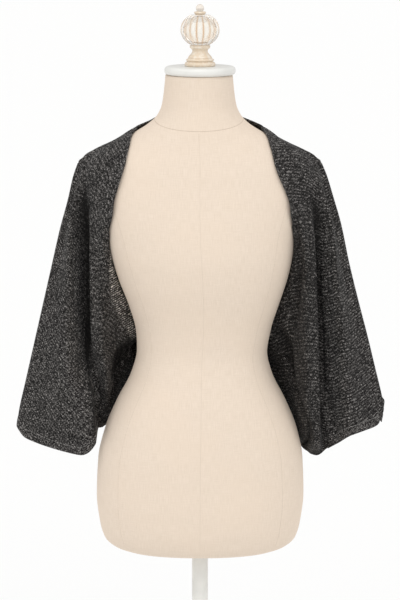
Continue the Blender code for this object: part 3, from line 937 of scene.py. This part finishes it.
@dataclass
class HalfSheet:
    """Half of the cloth as one smooth sheet, from its front opening edge to the middle of the back.

    The sheet is a grid of columns between the lines and of rows, crowded at the top and bottom. The lip is
    how the cloth turns at the fold. seat and ease hold it off the form, and it is drawn snug beside the
    opening edge. Creases fade at their ends, apart from those that run out over the cuff.
    """

    hand: Hand
    levels: Sequence[Level]
    back_levels: Sequence[BackLevel]
    bottom: Sequence[float]
    creases: Sequence[Crease]
    form: FormShape
    columns: tuple[int, ...] = (12, 12, 12, 12, 12, 12, 8, 9, 9, 8, 24, 24, 24, 26)
    rows: int = 170
    crowding: float = 0.6
    lip_in: tuple[float, float] = (0.006, 0.012)
    lip_depth: tuple[float, float] = (0.002, 0.013)
    lip_full_by: float = 0.10
    seat: float = 0.0012
    ease: float = 0.0020
    eased_by: float = 0.15
    snug_between: tuple[float, float] = (0.20, 0.80)
    snug_fade: float = 0.1
    snug_reach: float = 1.2
    crease_steps: int = 40
    crease_fade: float = 0.25
    crease_end: float = 0.1
    runs_out: float = 0.97
    still_top: float = 0.05
    still_bottom: tuple[float, float] = (0.03, 0.35)
    # Painted shade laid on the yarn in a trough, for each metre of its depth
    trough_painted_shade: float = 45.0
    trim_downs: tuple[float, ...] = (0.35, 0.40, 0.475, 0.56, 0.62, 0.69, 0.73, 0.75)
    trim_reach: tuple[float, ...] = (0.0, 0.45, 0.85, 0.95, 0.85, 0.70, 0.45, 0.0)
    trim_soft: float = 0.12
    points: np.ndarray = field(init=False)
    places: np.ndarray = field(init=False)
    downs: np.ndarray = field(init=False)
    shade: np.ndarray = field(init=False)

    def __post_init__(self) -> None:
        """Work out the sheet's points."""
        steady = np.arange(self.rows + 1) / self.rows
        self.downs = steady - self.crowding / (2.0 * math.pi) * np.sin(2.0 * math.pi * steady)
        places = [0.0]
        for line, count in enumerate(self.columns):
            places += [line + (i + 1) / count for i in range(count)]
        self.places = np.array(places)
        rows = np.array([self.row(down) for down in self.downs])
        moved, self.shade = self.folds(rows)
        rows = rows + self.normals(rows) * moved[..., None]
        clearance = self.seat + self.ease * np.minimum(1.0, self.downs / self.eased_by)
        clearance = np.broadcast_to(clearance[:, None], rows.shape[:2])
        start, stop = self.snug_between
        snug = smooth_step((self.downs - start) / self.snug_fade)
        snug = snug * smooth_step((stop - self.downs) / self.snug_fade)
        snug = snug[:, None] * (1.0 - smooth_step(self.places / self.snug_reach))
        self.points = self.form.seat(self.form.drawn_in(rows, clearance, snug), clearance)

    def row(self, down: float) -> np.ndarray:
        """Work out one row of the sheet.

        Args:
            down: Its place down the cloth.

        Returns:
            Its points, across the cloth.
        """
        row = level_at(self.levels, down)
        behind = level_at(self.back_levels, down)
        lip = min(1.0, down / self.lip_full_by)
        lip_in = self.lip_in[0] + (self.lip_in[1] - self.lip_in[0]) * lip
        lip_depth = self.lip_depth[0] + (self.lip_depth[1] - self.lip_depth[0]) * lip
        across = (row.edge_x, row.hollow_x, row.ridge_x, row.inner_x, row.valley_x, row.outer_x, row.crest_x,
                  row.fold_x - lip_in, row.fold_x, row.fold_x - lip_in,
                  row.crest_x, row.valley_x, row.ridge_x, behind.side_x, 0.0)
        back = (row.edge_y, row.hollow_y, row.ridge_y, row.inner_y, row.valley_y, row.outer_y, row.crest_y,
                -lip_depth, 0.0, lip_depth,
                behind.crest_y, behind.valley_y, behind.ridge_y, behind.side_y, behind.mid_y)
        height = [high + (low - high) * down for high, low in zip(TOP, self.bottom)]
        lines = range(len(across))
        x = self.hand.value * curve_through(lines, across, self.places)
        y = curve_through(lines, back, self.places, level_end=True)
        z = curve_through(lines, height, self.places, level_end=True)
        return np.stack([x, y, z], axis=-1)

    def normals(self, rows: np.ndarray) -> np.ndarray:
        """Directions out of the cloth at each point.

        Args:
            rows: The cloth's points.

        Returns:
            The unit directions.
        """
        across = np.gradient(rows, axis=1)
        down = np.gradient(rows, axis=0)
        return unit(np.cross(across, down)) * -self.hand.value

    def folds(self, rows: np.ndarray) -> tuple[np.ndarray, np.ndarray]:
        """How far the creases move each point along its direction out, and how much painted shade they lay on
        it.

        Args:
            rows: The cloth's points without its creases.

        Returns:
            The distances, in metres, and the painted shade up to 1, below 0 for painted light.
        """
        flat = self.flat(rows)
        moved = np.zeros(rows.shape[:2])
        shade = np.zeros(rows.shape[:2])
        share = np.linspace(0.0, 1.0, self.crease_steps)
        for crease in self.creases:
            knots = np.linspace(0.0, 1.0, len(crease.path))
            lines, downs = [curve_through(knots, column, share) for column in zip(*crease.path)]
            run = read_grid(flat, np.interp(downs, self.downs, np.arange(len(self.downs))),
                            np.interp(lines, self.places, np.arange(len(self.places))))
            apart = np.linalg.norm(flat[:, :, None] - run, axis=-1)
            nearest = share[apart.argmin(axis=-1)]
            off = apart.min(axis=-1) / crease.width
            fade = smooth_step(nearest / self.crease_fade + self.crease_end)
            if crease.path[-1][1] < self.runs_out:
                fade = fade * smooth_step((1.0 - nearest) / self.crease_fade + self.crease_end)
            bulge = np.exp(-off * off) * fade
            moved += crease.height * bulge
            # Painted shade on the yarn's colour: each crease's own share, and more the deeper its trough; below
            # 0 it is painted light
            shade += (crease.dark + self.trough_painted_shade * max(-crease.height, 0.0)) * bulge
        reach, end = self.still_bottom
        still = smooth_step(self.downs / self.still_top) * smooth_step((1.0 - self.downs) / reach + end)
        return moved * still[:, None], np.minimum(shade, 1.0)

    def column(self, line: Line) -> int:
        """The grid column of a line."""
        return sum(self.columns[: line.value])

    def flat(self, rows: np.ndarray) -> np.ndarray:
        """Lay the cloth flat.

        Args:
            rows: The cloth's points.

        Returns:
            Their flat places, in metres: across from the fold, and down from the shoulder.
        """
        fold = self.column(Line.FOLD)
        across = lengths_over(rows, 1)
        across = across - across[:, fold : fold + 1]
        return np.stack([across * self.hand.value, -lengths_over(rows, 0)], axis=-1)

    def trim(self) -> np.ndarray:
        """Mark the pale dotted trim along part of the left opening edge.

        Returns:
            How far each point has it, from 0 to 1.
        """
        if self.hand is Hand.RIGHT:
            return np.zeros((len(self.downs), len(self.places)))
        reach = np.interp(self.downs, self.trim_downs, self.trim_reach)
        return smooth_step((reach[:, None] - self.places[None, :]) / self.trim_soft)


@dataclass
class Panel:
    """One cut piece of the cloth: its points, flat places, and where it is trimmed or has painted shade."""

    name: str
    points: np.ndarray
    uv: np.ndarray
    trim: np.ndarray
    shade: np.ndarray
    hand: float

    def normals(self) -> np.ndarray:
        """Directions out of the cloth at each point."""
        return unit(np.cross(np.gradient(self.points, axis=1), np.gradient(self.points, axis=0))) * -self.hand


@dataclass
class Shrug:
    """The three pieces of the garment, with their hems and stitches.

    The right cuff's outer corner hangs down in a lobe. lobe_hang and lobe_round say, in shares of the hem's
    length, where the lobe starts to hang and to narrow, and over how much.
    """

    form: FormShape
    wall: float = 0.0018
    seam_gap: float = 0.0008
    edge_half_wide: float = 0.0016
    edge_half_thick: float = 0.0014
    cuff_half_wide: float = 0.0080
    cuff_half_thick: float = 0.0015
    overhang: float = 0.0008
    cuff_row: int = -13
    stitch_length: float = 0.0034
    stitch_pitch: float = 0.0050
    stitch_radius: float = 0.00055
    stitch_inset: float = 0.0024
    stitch_raised: float = 0.3
    lobe_drop: float = 0.0170
    lobe_hang: tuple[float, float] = (0.87, 0.12)
    lobe_round: tuple[float, float] = (0.960, 0.044)
    back_lobe: float = 0.6
    left_knit: KnitFinish = KnitFinish("charcoal_knit_left_front", 48.0, -45.0, course=0.0038, gap_light=0.38)
    right_knit: KnitFinish = KnitFinish("charcoal_knit_right_front", -28.0, 32.0, (0.0019, 0.0035, 0.0010),
                                        course=0.0042, gap_light=0.28)
    back_knit: KnitFinish = KnitFinish("charcoal_knit_back", 8.0, 12.0)
    hem_knit: KnitFinish = KnitFinish("charcoal_knit_hem", 4.0, 20.0)
    thread: ThreadFinish = ThreadFinish()

    def __post_init__(self) -> None:
        """Lay out both halves of the cloth."""
        self.left = HalfSheet(Hand.LEFT, LEFT_LEVELS, LEFT_BACK, LEFT_BOTTOM, LEFT_CREASES, self.form)
        self.right = HalfSheet(Hand.RIGHT, RIGHT_LEVELS, RIGHT_BACK, RIGHT_BOTTOM, RIGHT_CREASES, self.form)

    def cut(self, half: HalfSheet) -> tuple[Panel, Panel]:
        """Cut a half into its front and its back, parted along the shoulder, arm and underarm.

        Args:
            half: The half.

        Returns:
            Its front and its back, each drawn a little back from the seams so that they stay just apart.
        """
        fold = half.column(Line.FOLD)
        seam = half.column(Line.VALLEY)
        count = half.column(Line.SIDE) - fold
        start = half.column(Line.BACK_VALLEY) - fold
        front = half.points[:, : fold + 1].copy()
        back = half.points[:, fold:].copy()
        back[0, : count + 1] = resampled(front[0, ::-1], count + 1)
        back[-1, start : count + 1] = resampled(front[-1, : seam + 1][::-1], count - start + 1)
        lower = slice(1, None)
        for points, side, shoulder, underarm in (
                (front, (-1, -2), slice(0, -1), slice(0, seam + 1)),
                (back, (0, 1), slice(1, count + 1), slice(start, count + 1))):
            for edge, inner in (((0, side[0]), (1, side[1])), ((lower, side[0]), (lower, side[1])),
                                ((0, shoulder), (1, shoulder)), ((-1, underarm), (-2, underarm))):
                points[edge] += unit(points[inner] - points[edge]) * (self.seam_gap / 2.0)
        name = "shrug_front_left" if half.hand is Hand.LEFT else "shrug_front_right"
        uv, trim = half.flat(half.points), half.trim()
        return tuple(Panel(piece, points, uv[:, part], trim[:, part], half.shade[:, part], half.hand.value)
                     for piece, points, part in ((name, front, slice(0, fold + 1)),
                                                 ("shrug_back", back, slice(fold, None))))

    def panel(self, cut: Panel, finish: bpy.types.Material) -> bpy.types.Object:
        """Make a panel of cloth with its wall on the outer side.

        Args:
            cut: The panel's cut.
            finish: The knit.

        Returns:
            The piece.
        """
        order = slice(None) if cut.hand > 0.0 else slice(None, None, -1)
        work = grid_shape(cut.points[::-1, order], cut.uv[::-1, order])
        # Store the trim and the creases' painted shade on the points, for the knit to read
        for name, values in (("trim", cut.trim), ("shade", cut.shade)):
            layer = work.verts.layers.float.new(name)
            for vert, value in zip(work.verts, values[::-1, order].ravel()):
                vert[layer] = value
        item = piece_from(work, f"{cut.name}_cloth", finish, [cut.name])
        wall = item.modifiers.new("Wall", "SOLIDIFY")
        wall.thickness = self.wall
        wall.offset = 1.0
        return item

    def hem(self, name: str, edge: np.ndarray, inner: np.ndarray, out: np.ndarray, cuff: bool,
            finish: bpy.types.Material, drop: float = 0.0) -> bpy.types.Object:
        """Make a turned hem along an edge of the cloth.

        Args:
            name: The hem's name.
            edge: Points along the edge.
            inner: The neighbouring points further in.
            out: Directions out of the cloth.
            cuff: Whether it is a wide flat cuff hem or a narrow rolled one.
            finish: The knit.
            drop: How far its last end hangs down in a rounded lobe.

        Returns:
            The hem.
        """
        half_wide = self.cuff_half_wide if cuff else self.edge_half_wide
        half_thick = self.cuff_half_thick if cuff else self.edge_half_thick
        into = unit(inner - edge)
        middle = edge + into * (half_wide - self.overhang) + out * (self.wall / 2.0)
        if drop:
            share = along(middle) / along(middle)[-1]
            hang, narrow = [(share - start) / reach for start, reach in (self.lobe_hang, self.lobe_round)]
            middle = middle - np.outer(smooth_step(hang), (0.0, 0.0, drop))
            half_wide = half_wide * np.sqrt(1.0 - np.clip(narrow, 0.0, 1.0) ** 2)
        work = strip_shape(middle, into, out, half_wide, half_thick, 5.0 if cuff else 2.2)
        return piece_from(work, name, finish)

    def stitches(self, name: str, edge: np.ndarray, inner: np.ndarray, out: np.ndarray,
                 finish: bpy.types.Material) -> bpy.types.Object:
        """Make a row of short stitches along the upper edge of a cuff hem.

        Args:
            name: The row's name.
            edge: Points along the cuff's edge.
            inner: The neighbouring points further in.
            out: Directions out of the cloth.
            finish: The thread.

        Returns:
            The row of stitches.
        """
        line = edge + unit(inner - edge) * (2.0 * self.cuff_half_wide - self.stitch_inset)
        line = line + out * (self.wall / 2.0 + self.cuff_half_thick + self.stitch_radius * self.stitch_raised)
        lengths = along(line)
        work = bmesh.new()
        for middle in np.arange(self.stitch_pitch, lengths[-1] - self.stitch_pitch / 2.0, self.stitch_pitch):
            ends = [Vector([float(np.interp(middle + step, lengths, line[:, axis])) for axis in range(3)])
                    for step in (-self.stitch_length / 2.0, self.stitch_length / 2.0)]
            run = ends[1] - ends[0]
            turn = run.to_track_quat("Z", "Y").to_matrix().to_4x4()
            size = Matrix.Diagonal((self.stitch_radius, self.stitch_radius, run.length / 2.0, 1.0))
            bmesh.ops.create_uvsphere(work, u_segments=8, v_segments=6, radius=1.0,
                                      matrix=Matrix.Translation((ends[0] + ends[1]) / 2.0) @ turn @ size)
        return piece_from(work, name, finish)

    def cuff(self, name: str, cut: Panel, columns: slice, drop: float) -> list[bpy.types.Object]:
        """Make a cuff's hem and stitches.

        Args:
            name: What their names begin with.
            cut: The panel.
            columns: Its columns that end at the cuff.
            drop: How far the hem's last end hangs down.

        Returns:
            The hem and the stitches.
        """
        run = (cut.points[-1, columns], cut.points[self.cuff_row, columns], cut.normals()[-1, columns])
        return [self.hem(f"{name}_cuff_hem", *run, True, self.hem_material, drop),
                self.stitches(f"{name}_cuff_stitches", *run, self.thread_material)]

    def front(self, cut: Panel, half: HalfSheet, knit: KnitFinish, drop: float) -> None:
        """Build a front with its opening hem, its cuff hem and the cuff's stitches.

        Args:
            cut: Its cut.
            half: The half that it was cut from.
            knit: Its finish.
            drop: How far its cuff hem's last end hangs down.
        """
        item = self.panel(cut, knit.material())
        points = cut.points
        extras = [self.hem(f"{cut.name}_opening_hem", points[:, 0], points[:, 2], cut.normals()[:, 0], False,
                           self.hem_material)]
        extras += self.cuff(cut.name, cut, slice(half.column(Line.VALLEY), None), drop)
        self.sheet(points, extras)

    def build(self) -> None:
        """Build the panels, the hems and the stitches."""
        left_front, left_back = self.cut(self.left)
        right_front, right_back = self.cut(self.right)
        self.hem_material = self.hem_knit.material()
        self.thread_material = self.thread.material()
        self.front(left_front, self.left, self.left_knit, 0.0)
        self.front(right_front, self.right, self.right_knit, self.lobe_drop)
        flat = [back.uv - back.uv[:, -1:] * (1.0, 0.0) for back in (right_back, left_back)]
        pairs = ((right_back.points, left_back.points), flat, (right_back.trim, left_back.trim),
                 (right_back.shade, left_back.shade))
        joined = [np.concatenate([right, left[:, :-1][:, ::-1]], axis=1) for right, left in pairs]
        back = Panel("shrug_back", *joined, 1.0)
        item = self.panel(back, self.back_knit.material())
        self.sheet(back.points, self.back_extras(back))

    def back_extras(self, cut: Panel) -> list[bpy.types.Object]:
        """Make the back's opening hems, cuff hems and cuff stitches.

        Args:
            cut: The back's cut.

        Returns:
            The hems and stitches.
        """
        points, out = cut.points, cut.normals()
        fold = self.right.column(Line.FOLD)
        side = self.right.column(Line.SIDE) - fold
        seam = self.right.column(Line.BACK_VALLEY) - fold
        last = points.shape[1] - 1
        between = slice(side, last - side + 1)
        extras = [self.hem(f"shrug_back_{name}_hem", points[edge, between], points[inner, between],
                           out[edge, between], False, self.hem_material)
                  for name, edge, inner in (("neck", 0, 2), ("lower", -1, -3))]
        extras += self.cuff("shrug_back_right", cut, slice(seam, None, -1), self.lobe_drop * self.back_lobe)
        extras += self.cuff("shrug_back_left", cut, slice(last - seam, last + 1), 0.0)
        return extras

    def sheet(self, points: np.ndarray, extras: list[bpy.types.Object]) -> None:
        """Measure how long a panel's longest column is, and do nothing more with it.

        Args:
            points: Its grid of points.
            extras: The hems and stitches on it; not used.
        """
        tall = max(float(along(column)[-1]) for column in points.transpose(1, 0, 2))


def resampled(points: np.ndarray, count: int) -> np.ndarray:
    """Read a line of points again with another number of points, by their share of the way along.

    Args:
        points: The line.
        count: How many points to read.

    Returns:
        The new line.
    """
    old = np.linspace(0.0, 1.0, len(points))
    new = np.linspace(0.0, 1.0, count)
    return np.stack([np.interp(new, old, points[:, axis]) for axis in range(3)], axis=-1)


@dataclass
class DressForm:
    """The padded, linen-covered form with its sewn seams.

    The neck seam dips in front and rises behind. seam_lines holds each other seam's name, its angle in
    degrees round the form and the height of its upper end.
    """

    form: FormShape
    around: int = 144
    finish: LinenFinish = LinenFinish("natural_linen_cloth")
    seam_finish: LinenFinish = LinenFinish("natural_linen_seam", (0.60, 0.505, 0.415))
    neck_seam_wide: float = 0.00042
    neck_seam_height: float = 1.3680
    neck_seam_dip: float = 0.0145
    neck_seam_rise: float = 0.0120
    neck_seam_steps: int = 121
    seam_wide: float = 0.00016
    seam_steps: int = 90
    seam_stop: float = 0.004
    seam_lines: tuple[tuple[str, float, float], ...] = (
        ("centre_front", 90.0, 1.350), ("princess_front_right", 41.0, 1.310),
        ("princess_front_left", 139.0, 1.310), ("side_right", 0.0, 1.290), ("side_left", 180.0, 1.290),
        ("princess_back_right", -41.0, 1.310), ("princess_back_left", -139.0, 1.310),
        ("centre_back", -90.0, 1.372),
    )

    def build(self) -> None:
        """Build the padded body."""
        heights = self.heights()
        angles = np.linspace(0.0, 2.0 * math.pi, self.around + 1) - math.pi / 2.0
        points = self.form.point(angles[None, :], heights[:, None])
        lengths = lengths_over(points, 1)
        across = lengths - lengths[:, -1:] / 2.0
        uv = np.stack([across, np.broadcast_to(heights[:, None], lengths.shape)], axis=-1)
        work = grid_shape(points, uv)
        bmesh.ops.remove_doubles(work, verts=work.verts, dist=JOIN)
        close_ends(work)
        piece_from(work, "form_padding", self.finish.material(), ["form_body"])
        self.build_seams()

    def build_seams(self) -> None:
        """Build the neck seam, and the fine seams down the middles, the princess lines and the sides."""
        finish = self.seam_finish.material()
        around = np.linspace(0.0, 2.0 * math.pi, self.neck_seam_steps)
        ahead = np.maximum(np.sin(around), 0.0) ** 1.5
        behind = np.maximum(-np.sin(around), 0.0)
        level = self.neck_seam_height - self.neck_seam_dip * ahead + self.neck_seam_rise * behind
        self.seam("neck_seam", around, level, self.neck_seam_wide, finish)
        for name, angle, top in self.seam_lines:
            heights = np.linspace(top, FORM_BOTTOM + self.seam_stop, self.seam_steps)
            angles = np.full(self.seam_steps, math.radians(angle))
            self.seam(f"{name}_seam", angles, heights, self.seam_wide, finish)

    def seam(self, name: str, angles: np.ndarray, heights: np.ndarray, half_wide: float,
             finish: bpy.types.Material) -> None:
        """Lay a fine raised seam on the form.

        Args:
            name: Its name.
            angles: The angles of its points round the form.
            heights: Their heights.
            half_wide: Half its width.
            finish: The thread and linen.
        """
        path = self.form.point(angles, heights)
        out = self.form.distance(path + unit(path * (1.0, 1.0, 0.0)) * 0.0005)[1]
        side = unit(np.cross(unit(np.gradient(path, axis=0)), out))
        work = strip_shape(path, side, out, half_wide, half_wide * 0.6, 2.0, 8)
        piece_from(work, name, finish)

    def heights(self) -> np.ndarray:
        """Set out the rings, five from each section to the next.

        Returns:
            Their heights.
        """
        levels = [section.z for section in self.form.sections]
        heights = []
        for high, low in zip(levels, levels[1:]):
            heights += list(np.linspace(high, low, 6)[:-1])
        return np.array(heights + [levels[-1]])


@dataclass
class Turned:
    """A turned piece: a profile of (radius, height) spun about the middle line, for a CAD node."""

    name: str
    profile: Sequence[tuple[float, float]]
    node: str
    slot: str
    steps: int = 96
    sharp: float = 50.0

    def build(self, material: bpy.types.Material) -> bpy.types.Object:
        """Spin the profile into a closed piece.

        Args:
            material: Its finish.

        Returns:
            The piece.
        """
        work = bmesh.new()
        verts = [work.verts.new((radius, 0.0, height)) for radius, height in self.profile]
        edges = [work.edges.new(pair) for pair in zip(verts, verts[1:])]
        bmesh.ops.spin(work, geom=verts + edges, cent=(0, 0, 0), axis=(0, 0, 1), dvec=(0, 0, 0),
                       angle=2.0 * math.pi, steps=self.steps, use_merge=True, use_duplicate=False)
        bmesh.ops.remove_doubles(work, verts=work.verts, dist=JOIN)
        bmesh.ops.recalc_face_normals(work, faces=work.faces)
        item = piece_from(work, self.name, material, [self.node])
        item.data.set_sharp_from_angle(angle=math.radians(self.sharp))
        return item


def arc(radius: float, height: float, size: float, start: float, stop: float,
        count: int) -> list[tuple[float, float]]:
    """Work out the points of an arc for a turned profile.

    Args:
        radius: Its centre's distance from the middle line.
        height: Its centre's height.
        size: Its own radius.
        start: The angle at its first point, in degrees clockwise from straight up.
        stop: The angle at its last point.
        count: How many steps it has.

    Returns:
        The points.
    """
    angles = np.radians(np.linspace(start, stop, count + 1))
    return [(radius + size * math.sin(a), height + size * math.cos(a)) for a in angles]


@dataclass
class Fittings:
    """Neck cap, finial, pole and foot."""

    pole_radius: float = 0.0130
    foot_radius: float = 0.170
    foot_height: float = 0.028
    pin_radius: float = 0.0010
    glass_wall: float = 0.0030
    ball_radius: float = 0.0297
    ball_half_height: float = 0.0268
    flutes: int = 16
    flute_depth: float = 0.0012
    white: PaintFinish = PaintFinish("satin_white_paint", (0.79, 0.785, 0.745), (0.73, 0.725, 0.69),
                                     0.38, 0.3, 30.0)
    cream: PaintFinish = PaintFinish("rubbed_cream_paint", (0.75, 0.62, 0.47), (0.83, 0.75, 0.64),
                                     0.42, 0.2, 160.0)
    glass: GlassFinish = GlassFinish("pale_amber_glass", (1.0, 0.975, 0.945), 0.05, 1.05, 16)
    clear: GlassFinish = GlassFinish("clear_knob_glass", (0.95, 0.88, 0.80), 0.03, 1.30, clearness=0.85)

    def build(self) -> None:
        """Build every fitting."""
        white = self.white.material()
        cream = self.cream.material()
        low = CAP_TOP - CAP_HEIGHT
        cap = [(0.0, CAP_TOP)]
        cap += arc(CAP_RADIUS - CAP_EDGE, CAP_TOP - CAP_EDGE, CAP_EDGE, 0, 90, 10)
        cap += arc(CAP_RADIUS - CAP_EDGE, low + CAP_EDGE, CAP_EDGE, 90, 180, 10)
        cap += [(0.0, low)]
        Turned("neck_cap_turned", cap, "neck_cap", "white_paint").build(white)
        pin = bmesh.new()
        bmesh.ops.create_uvsphere(pin, u_segments=16, v_segments=12, radius=self.pin_radius,
                                  matrix=Matrix.Translation((-0.002, -0.0535, low - 0.0035)))
        piece_from(pin, "cap_pin", cream)
        self.build_finial(cream)
        foot = [(0.0, self.foot_height), (0.0290, self.foot_height), (0.0315, self.foot_height - 0.0008)]
        foot += [(0.0338, 0.0250), (0.0350, 0.0210), (0.0380, 0.0180), (0.0500, 0.0163), (0.0800, 0.0150)]
        foot += [(0.1500, 0.0130)]
        foot += arc(self.foot_radius - 0.0060, 0.0060, 0.0060, 0, 90, 8)
        foot += [(self.foot_radius, 0.0012), (self.foot_radius - 0.0012, 0.0), (0.0, 0.0)]
        Turned("foot_turned", foot, "stand_foot", "white_paint").build(white)
        top = FORM_BOTTOM - GAP
        base = self.foot_height + GAP
        pole = [(0.0, top), (self.pole_radius, top), (self.pole_radius, base), (0.0, base)]
        Turned("pole_turned", pole, "stand_pole", "white_paint", 64).build(white)

    def build_finial(self, cream: bpy.types.Material) -> None:
        """Build the pedestal, the fluted ball, the collar and the knob.

        Args:
            cream: The rubbed paint.
        """
        base = CAP_TOP + GAP
        pedestal = (
            (0.0000, 0.0330), (0.0140, 0.0330), (0.0152, 0.0326), (0.0160, 0.0315), (0.0163, 0.0300),
            (0.0159, 0.0285), (0.0140, 0.0270), (0.0127, 0.0256), (0.0122, 0.0238), (0.0124, 0.0222),
            (0.0134, 0.0203), (0.0150, 0.0182), (0.0168, 0.0163), (0.0176, 0.0152), (0.0186, 0.0143),
            (0.0189, 0.0133), (0.0185, 0.0122), (0.0205, 0.0112), (0.0220, 0.0103), (0.0224, 0.0095),
            (0.0220, 0.0086), (0.0203, 0.0078), (0.0202, 0.0072), (0.0222, 0.0062), (0.0236, 0.0050),
            (0.0242, 0.0038), (0.0242, 0.0012), (0.0236, 0.0002), (0.0232, 0.0000), (0.0000, 0.0000),
        )
        Turned("pedestal_turned", [(r, base + h) for r, h in pedestal], "finial_pedestal",
               "cream_paint").build(cream)
        low = base + 0.0330 + GAP
        high = low + 0.0467
        self.build_ball(low, high)
        collar_base = high + GAP
        collar = ((0.0000, 0.0052), (0.0070, 0.0052), (0.0084, 0.0049), (0.0093, 0.0041), (0.0095, 0.0032),
                  (0.0092, 0.0022), (0.0082, 0.0012), (0.0078, 0.0003), (0.0074, 0.0000), (0.0000, 0.0000))
        Turned("collar_turned", [(r, collar_base + h) for r, h in collar], "finial_collar",
               "cream_paint", 64).build(cream)
        knob_base = collar_base + 0.0052 + GAP
        knob = arc(0.0, knob_base + 0.0045, 0.0065, 0, 133.8, 20)
        knob[0] = (0.0, knob[0][1])
        Turned("knob_turned", knob + [(0.0, knob_base)], "finial_knob", "amber_glass",
               64).build(self.clear.material())

    def build_ball(self, low: float, high: float) -> None:
        """Build the fluted glass ball with its hollow, cut flat where it is held.

        Args:
            low: The height of the lower cut.
            high: The height of the upper cut.
        """
        work = bmesh.new()
        for wall in (0.0, self.glass_wall):
            layer = self.ball_layer(wall, low, high)
            mesh = bpy.data.meshes.new("ball_layer")
            layer.to_mesh(mesh)
            layer.free()
            work.from_mesh(mesh)
            bpy.data.meshes.remove(mesh)
        piece_from(work, "fluted_ball", self.glass.material(), ["finial_ball"])

    def ball_layer(self, wall: float, low: float, high: float) -> bmesh.types.BMesh:
        """One closed surface of the ball.

        Args:
            wall: How far it lies inside the fluted outer surface, 0 for that surface.
            low: The height of the lower cut.
            high: The height of the upper cut.

        Returns:
            The surface, facing out of the glass.
        """
        middle = (low + high) / 2.0
        work = bmesh.new()
        bmesh.ops.create_uvsphere(work, u_segments=self.flutes * 12, v_segments=56, radius=1.0)
        for vert in work.verts:
            x, y, z = vert.co
            around = math.atan2(y, x)
            raised = 2.0 * abs(math.cos(self.flutes * around / 2.0)) - 1.0
            ribbed = 0.0 if wall else self.flute_depth * raised
            wide = (self.ball_radius - wall + ribbed) * math.hypot(x, y)
            tall = self.ball_half_height - 2.0 * wall
            vert.co = (wide * math.cos(around), wide * math.sin(around), middle + tall * z)
        for level, normal in ((high, (0, 0, 1)), (low, (0, 0, -1))):
            parts = work.verts[:] + work.edges[:] + work.faces[:]
            bmesh.ops.bisect_plane(work, geom=parts, plane_co=(0, 0, level), plane_no=normal,
                                   clear_outer=True)
        close_ends(work)
        if wall:
            bmesh.ops.reverse_faces(work, faces=work.faces)
        return work


@dataclass
class Studio:
    """Pale floor, soft light and the camera at the photograph's angle."""

    eye: tuple[float, float, float] = (0.0, -4.0, 1.76)
    pitch: float = 9.7
    lens: float = 152.2
    floor_radius: float = 60.0
    sky: float = 0.66
    sun: float = 0.86
    sun_turns: tuple[float, ...] = (-38.0, 30.0)
    sun_tilt: float = 42.0
    sun_spread: float = 60.0

    def build(self) -> None:
        """Build the floor, the lights and the camera."""
        scene = bpy.context.scene
        scene.view_settings.view_transform = "Standard"
        world = bpy.data.worlds.new("studio")
        world.use_nodes = True
        back = world.node_tree.nodes["Background"]
        back.inputs["Color"].default_value = (1.0, 1.0, 1.0, 1.0)
        back.inputs["Strength"].default_value = self.sky
        scene.world = world
        work = bmesh.new()
        bmesh.ops.create_circle(work, cap_ends=True, segments=64, radius=self.floor_radius)
        mesh = bpy.data.meshes.new("floor")
        work.to_mesh(mesh)
        work.free()
        g = Graph("pale_floor")
        g.set(Base_Color=(0.93, 0.93, 0.925), Roughness=0.9, Specular_IOR_Level=0.0)
        mesh.materials.append(g.material)
        floor = bpy.data.objects.new("floor", mesh)
        scene.collection.objects.link(floor)
        for turn in self.sun_turns:
            light = bpy.data.lights.new("soft_key", "SUN")
            light.energy = self.sun
            light.angle = math.radians(self.sun_spread)
            key = bpy.data.objects.new("soft_key", light)
            key.rotation_euler = (math.radians(self.sun_tilt), 0.0, math.radians(turn))
            scene.collection.objects.link(key)
        camera = bpy.data.objects.new("camera", bpy.data.cameras.new("camera"))
        camera.data.lens = self.lens
        camera.location = self.eye
        camera.rotation_euler = (math.radians(90.0 - self.pitch), 0.0, 0.0)
        scene.collection.objects.link(camera)
        scene.camera = camera


def main() -> None:
    """Build the studio, the form with its fittings, and the shrug."""
    logging.basicConfig(level=logging.INFO, format="%(message)s")
    form = FormShape()
    for part in (Studio(), DressForm(form), Fittings(), Shrug(form)):
        part.build()
        LOG.info("built %s", type(part).__name__)


if __name__ == "__main__":
    main()
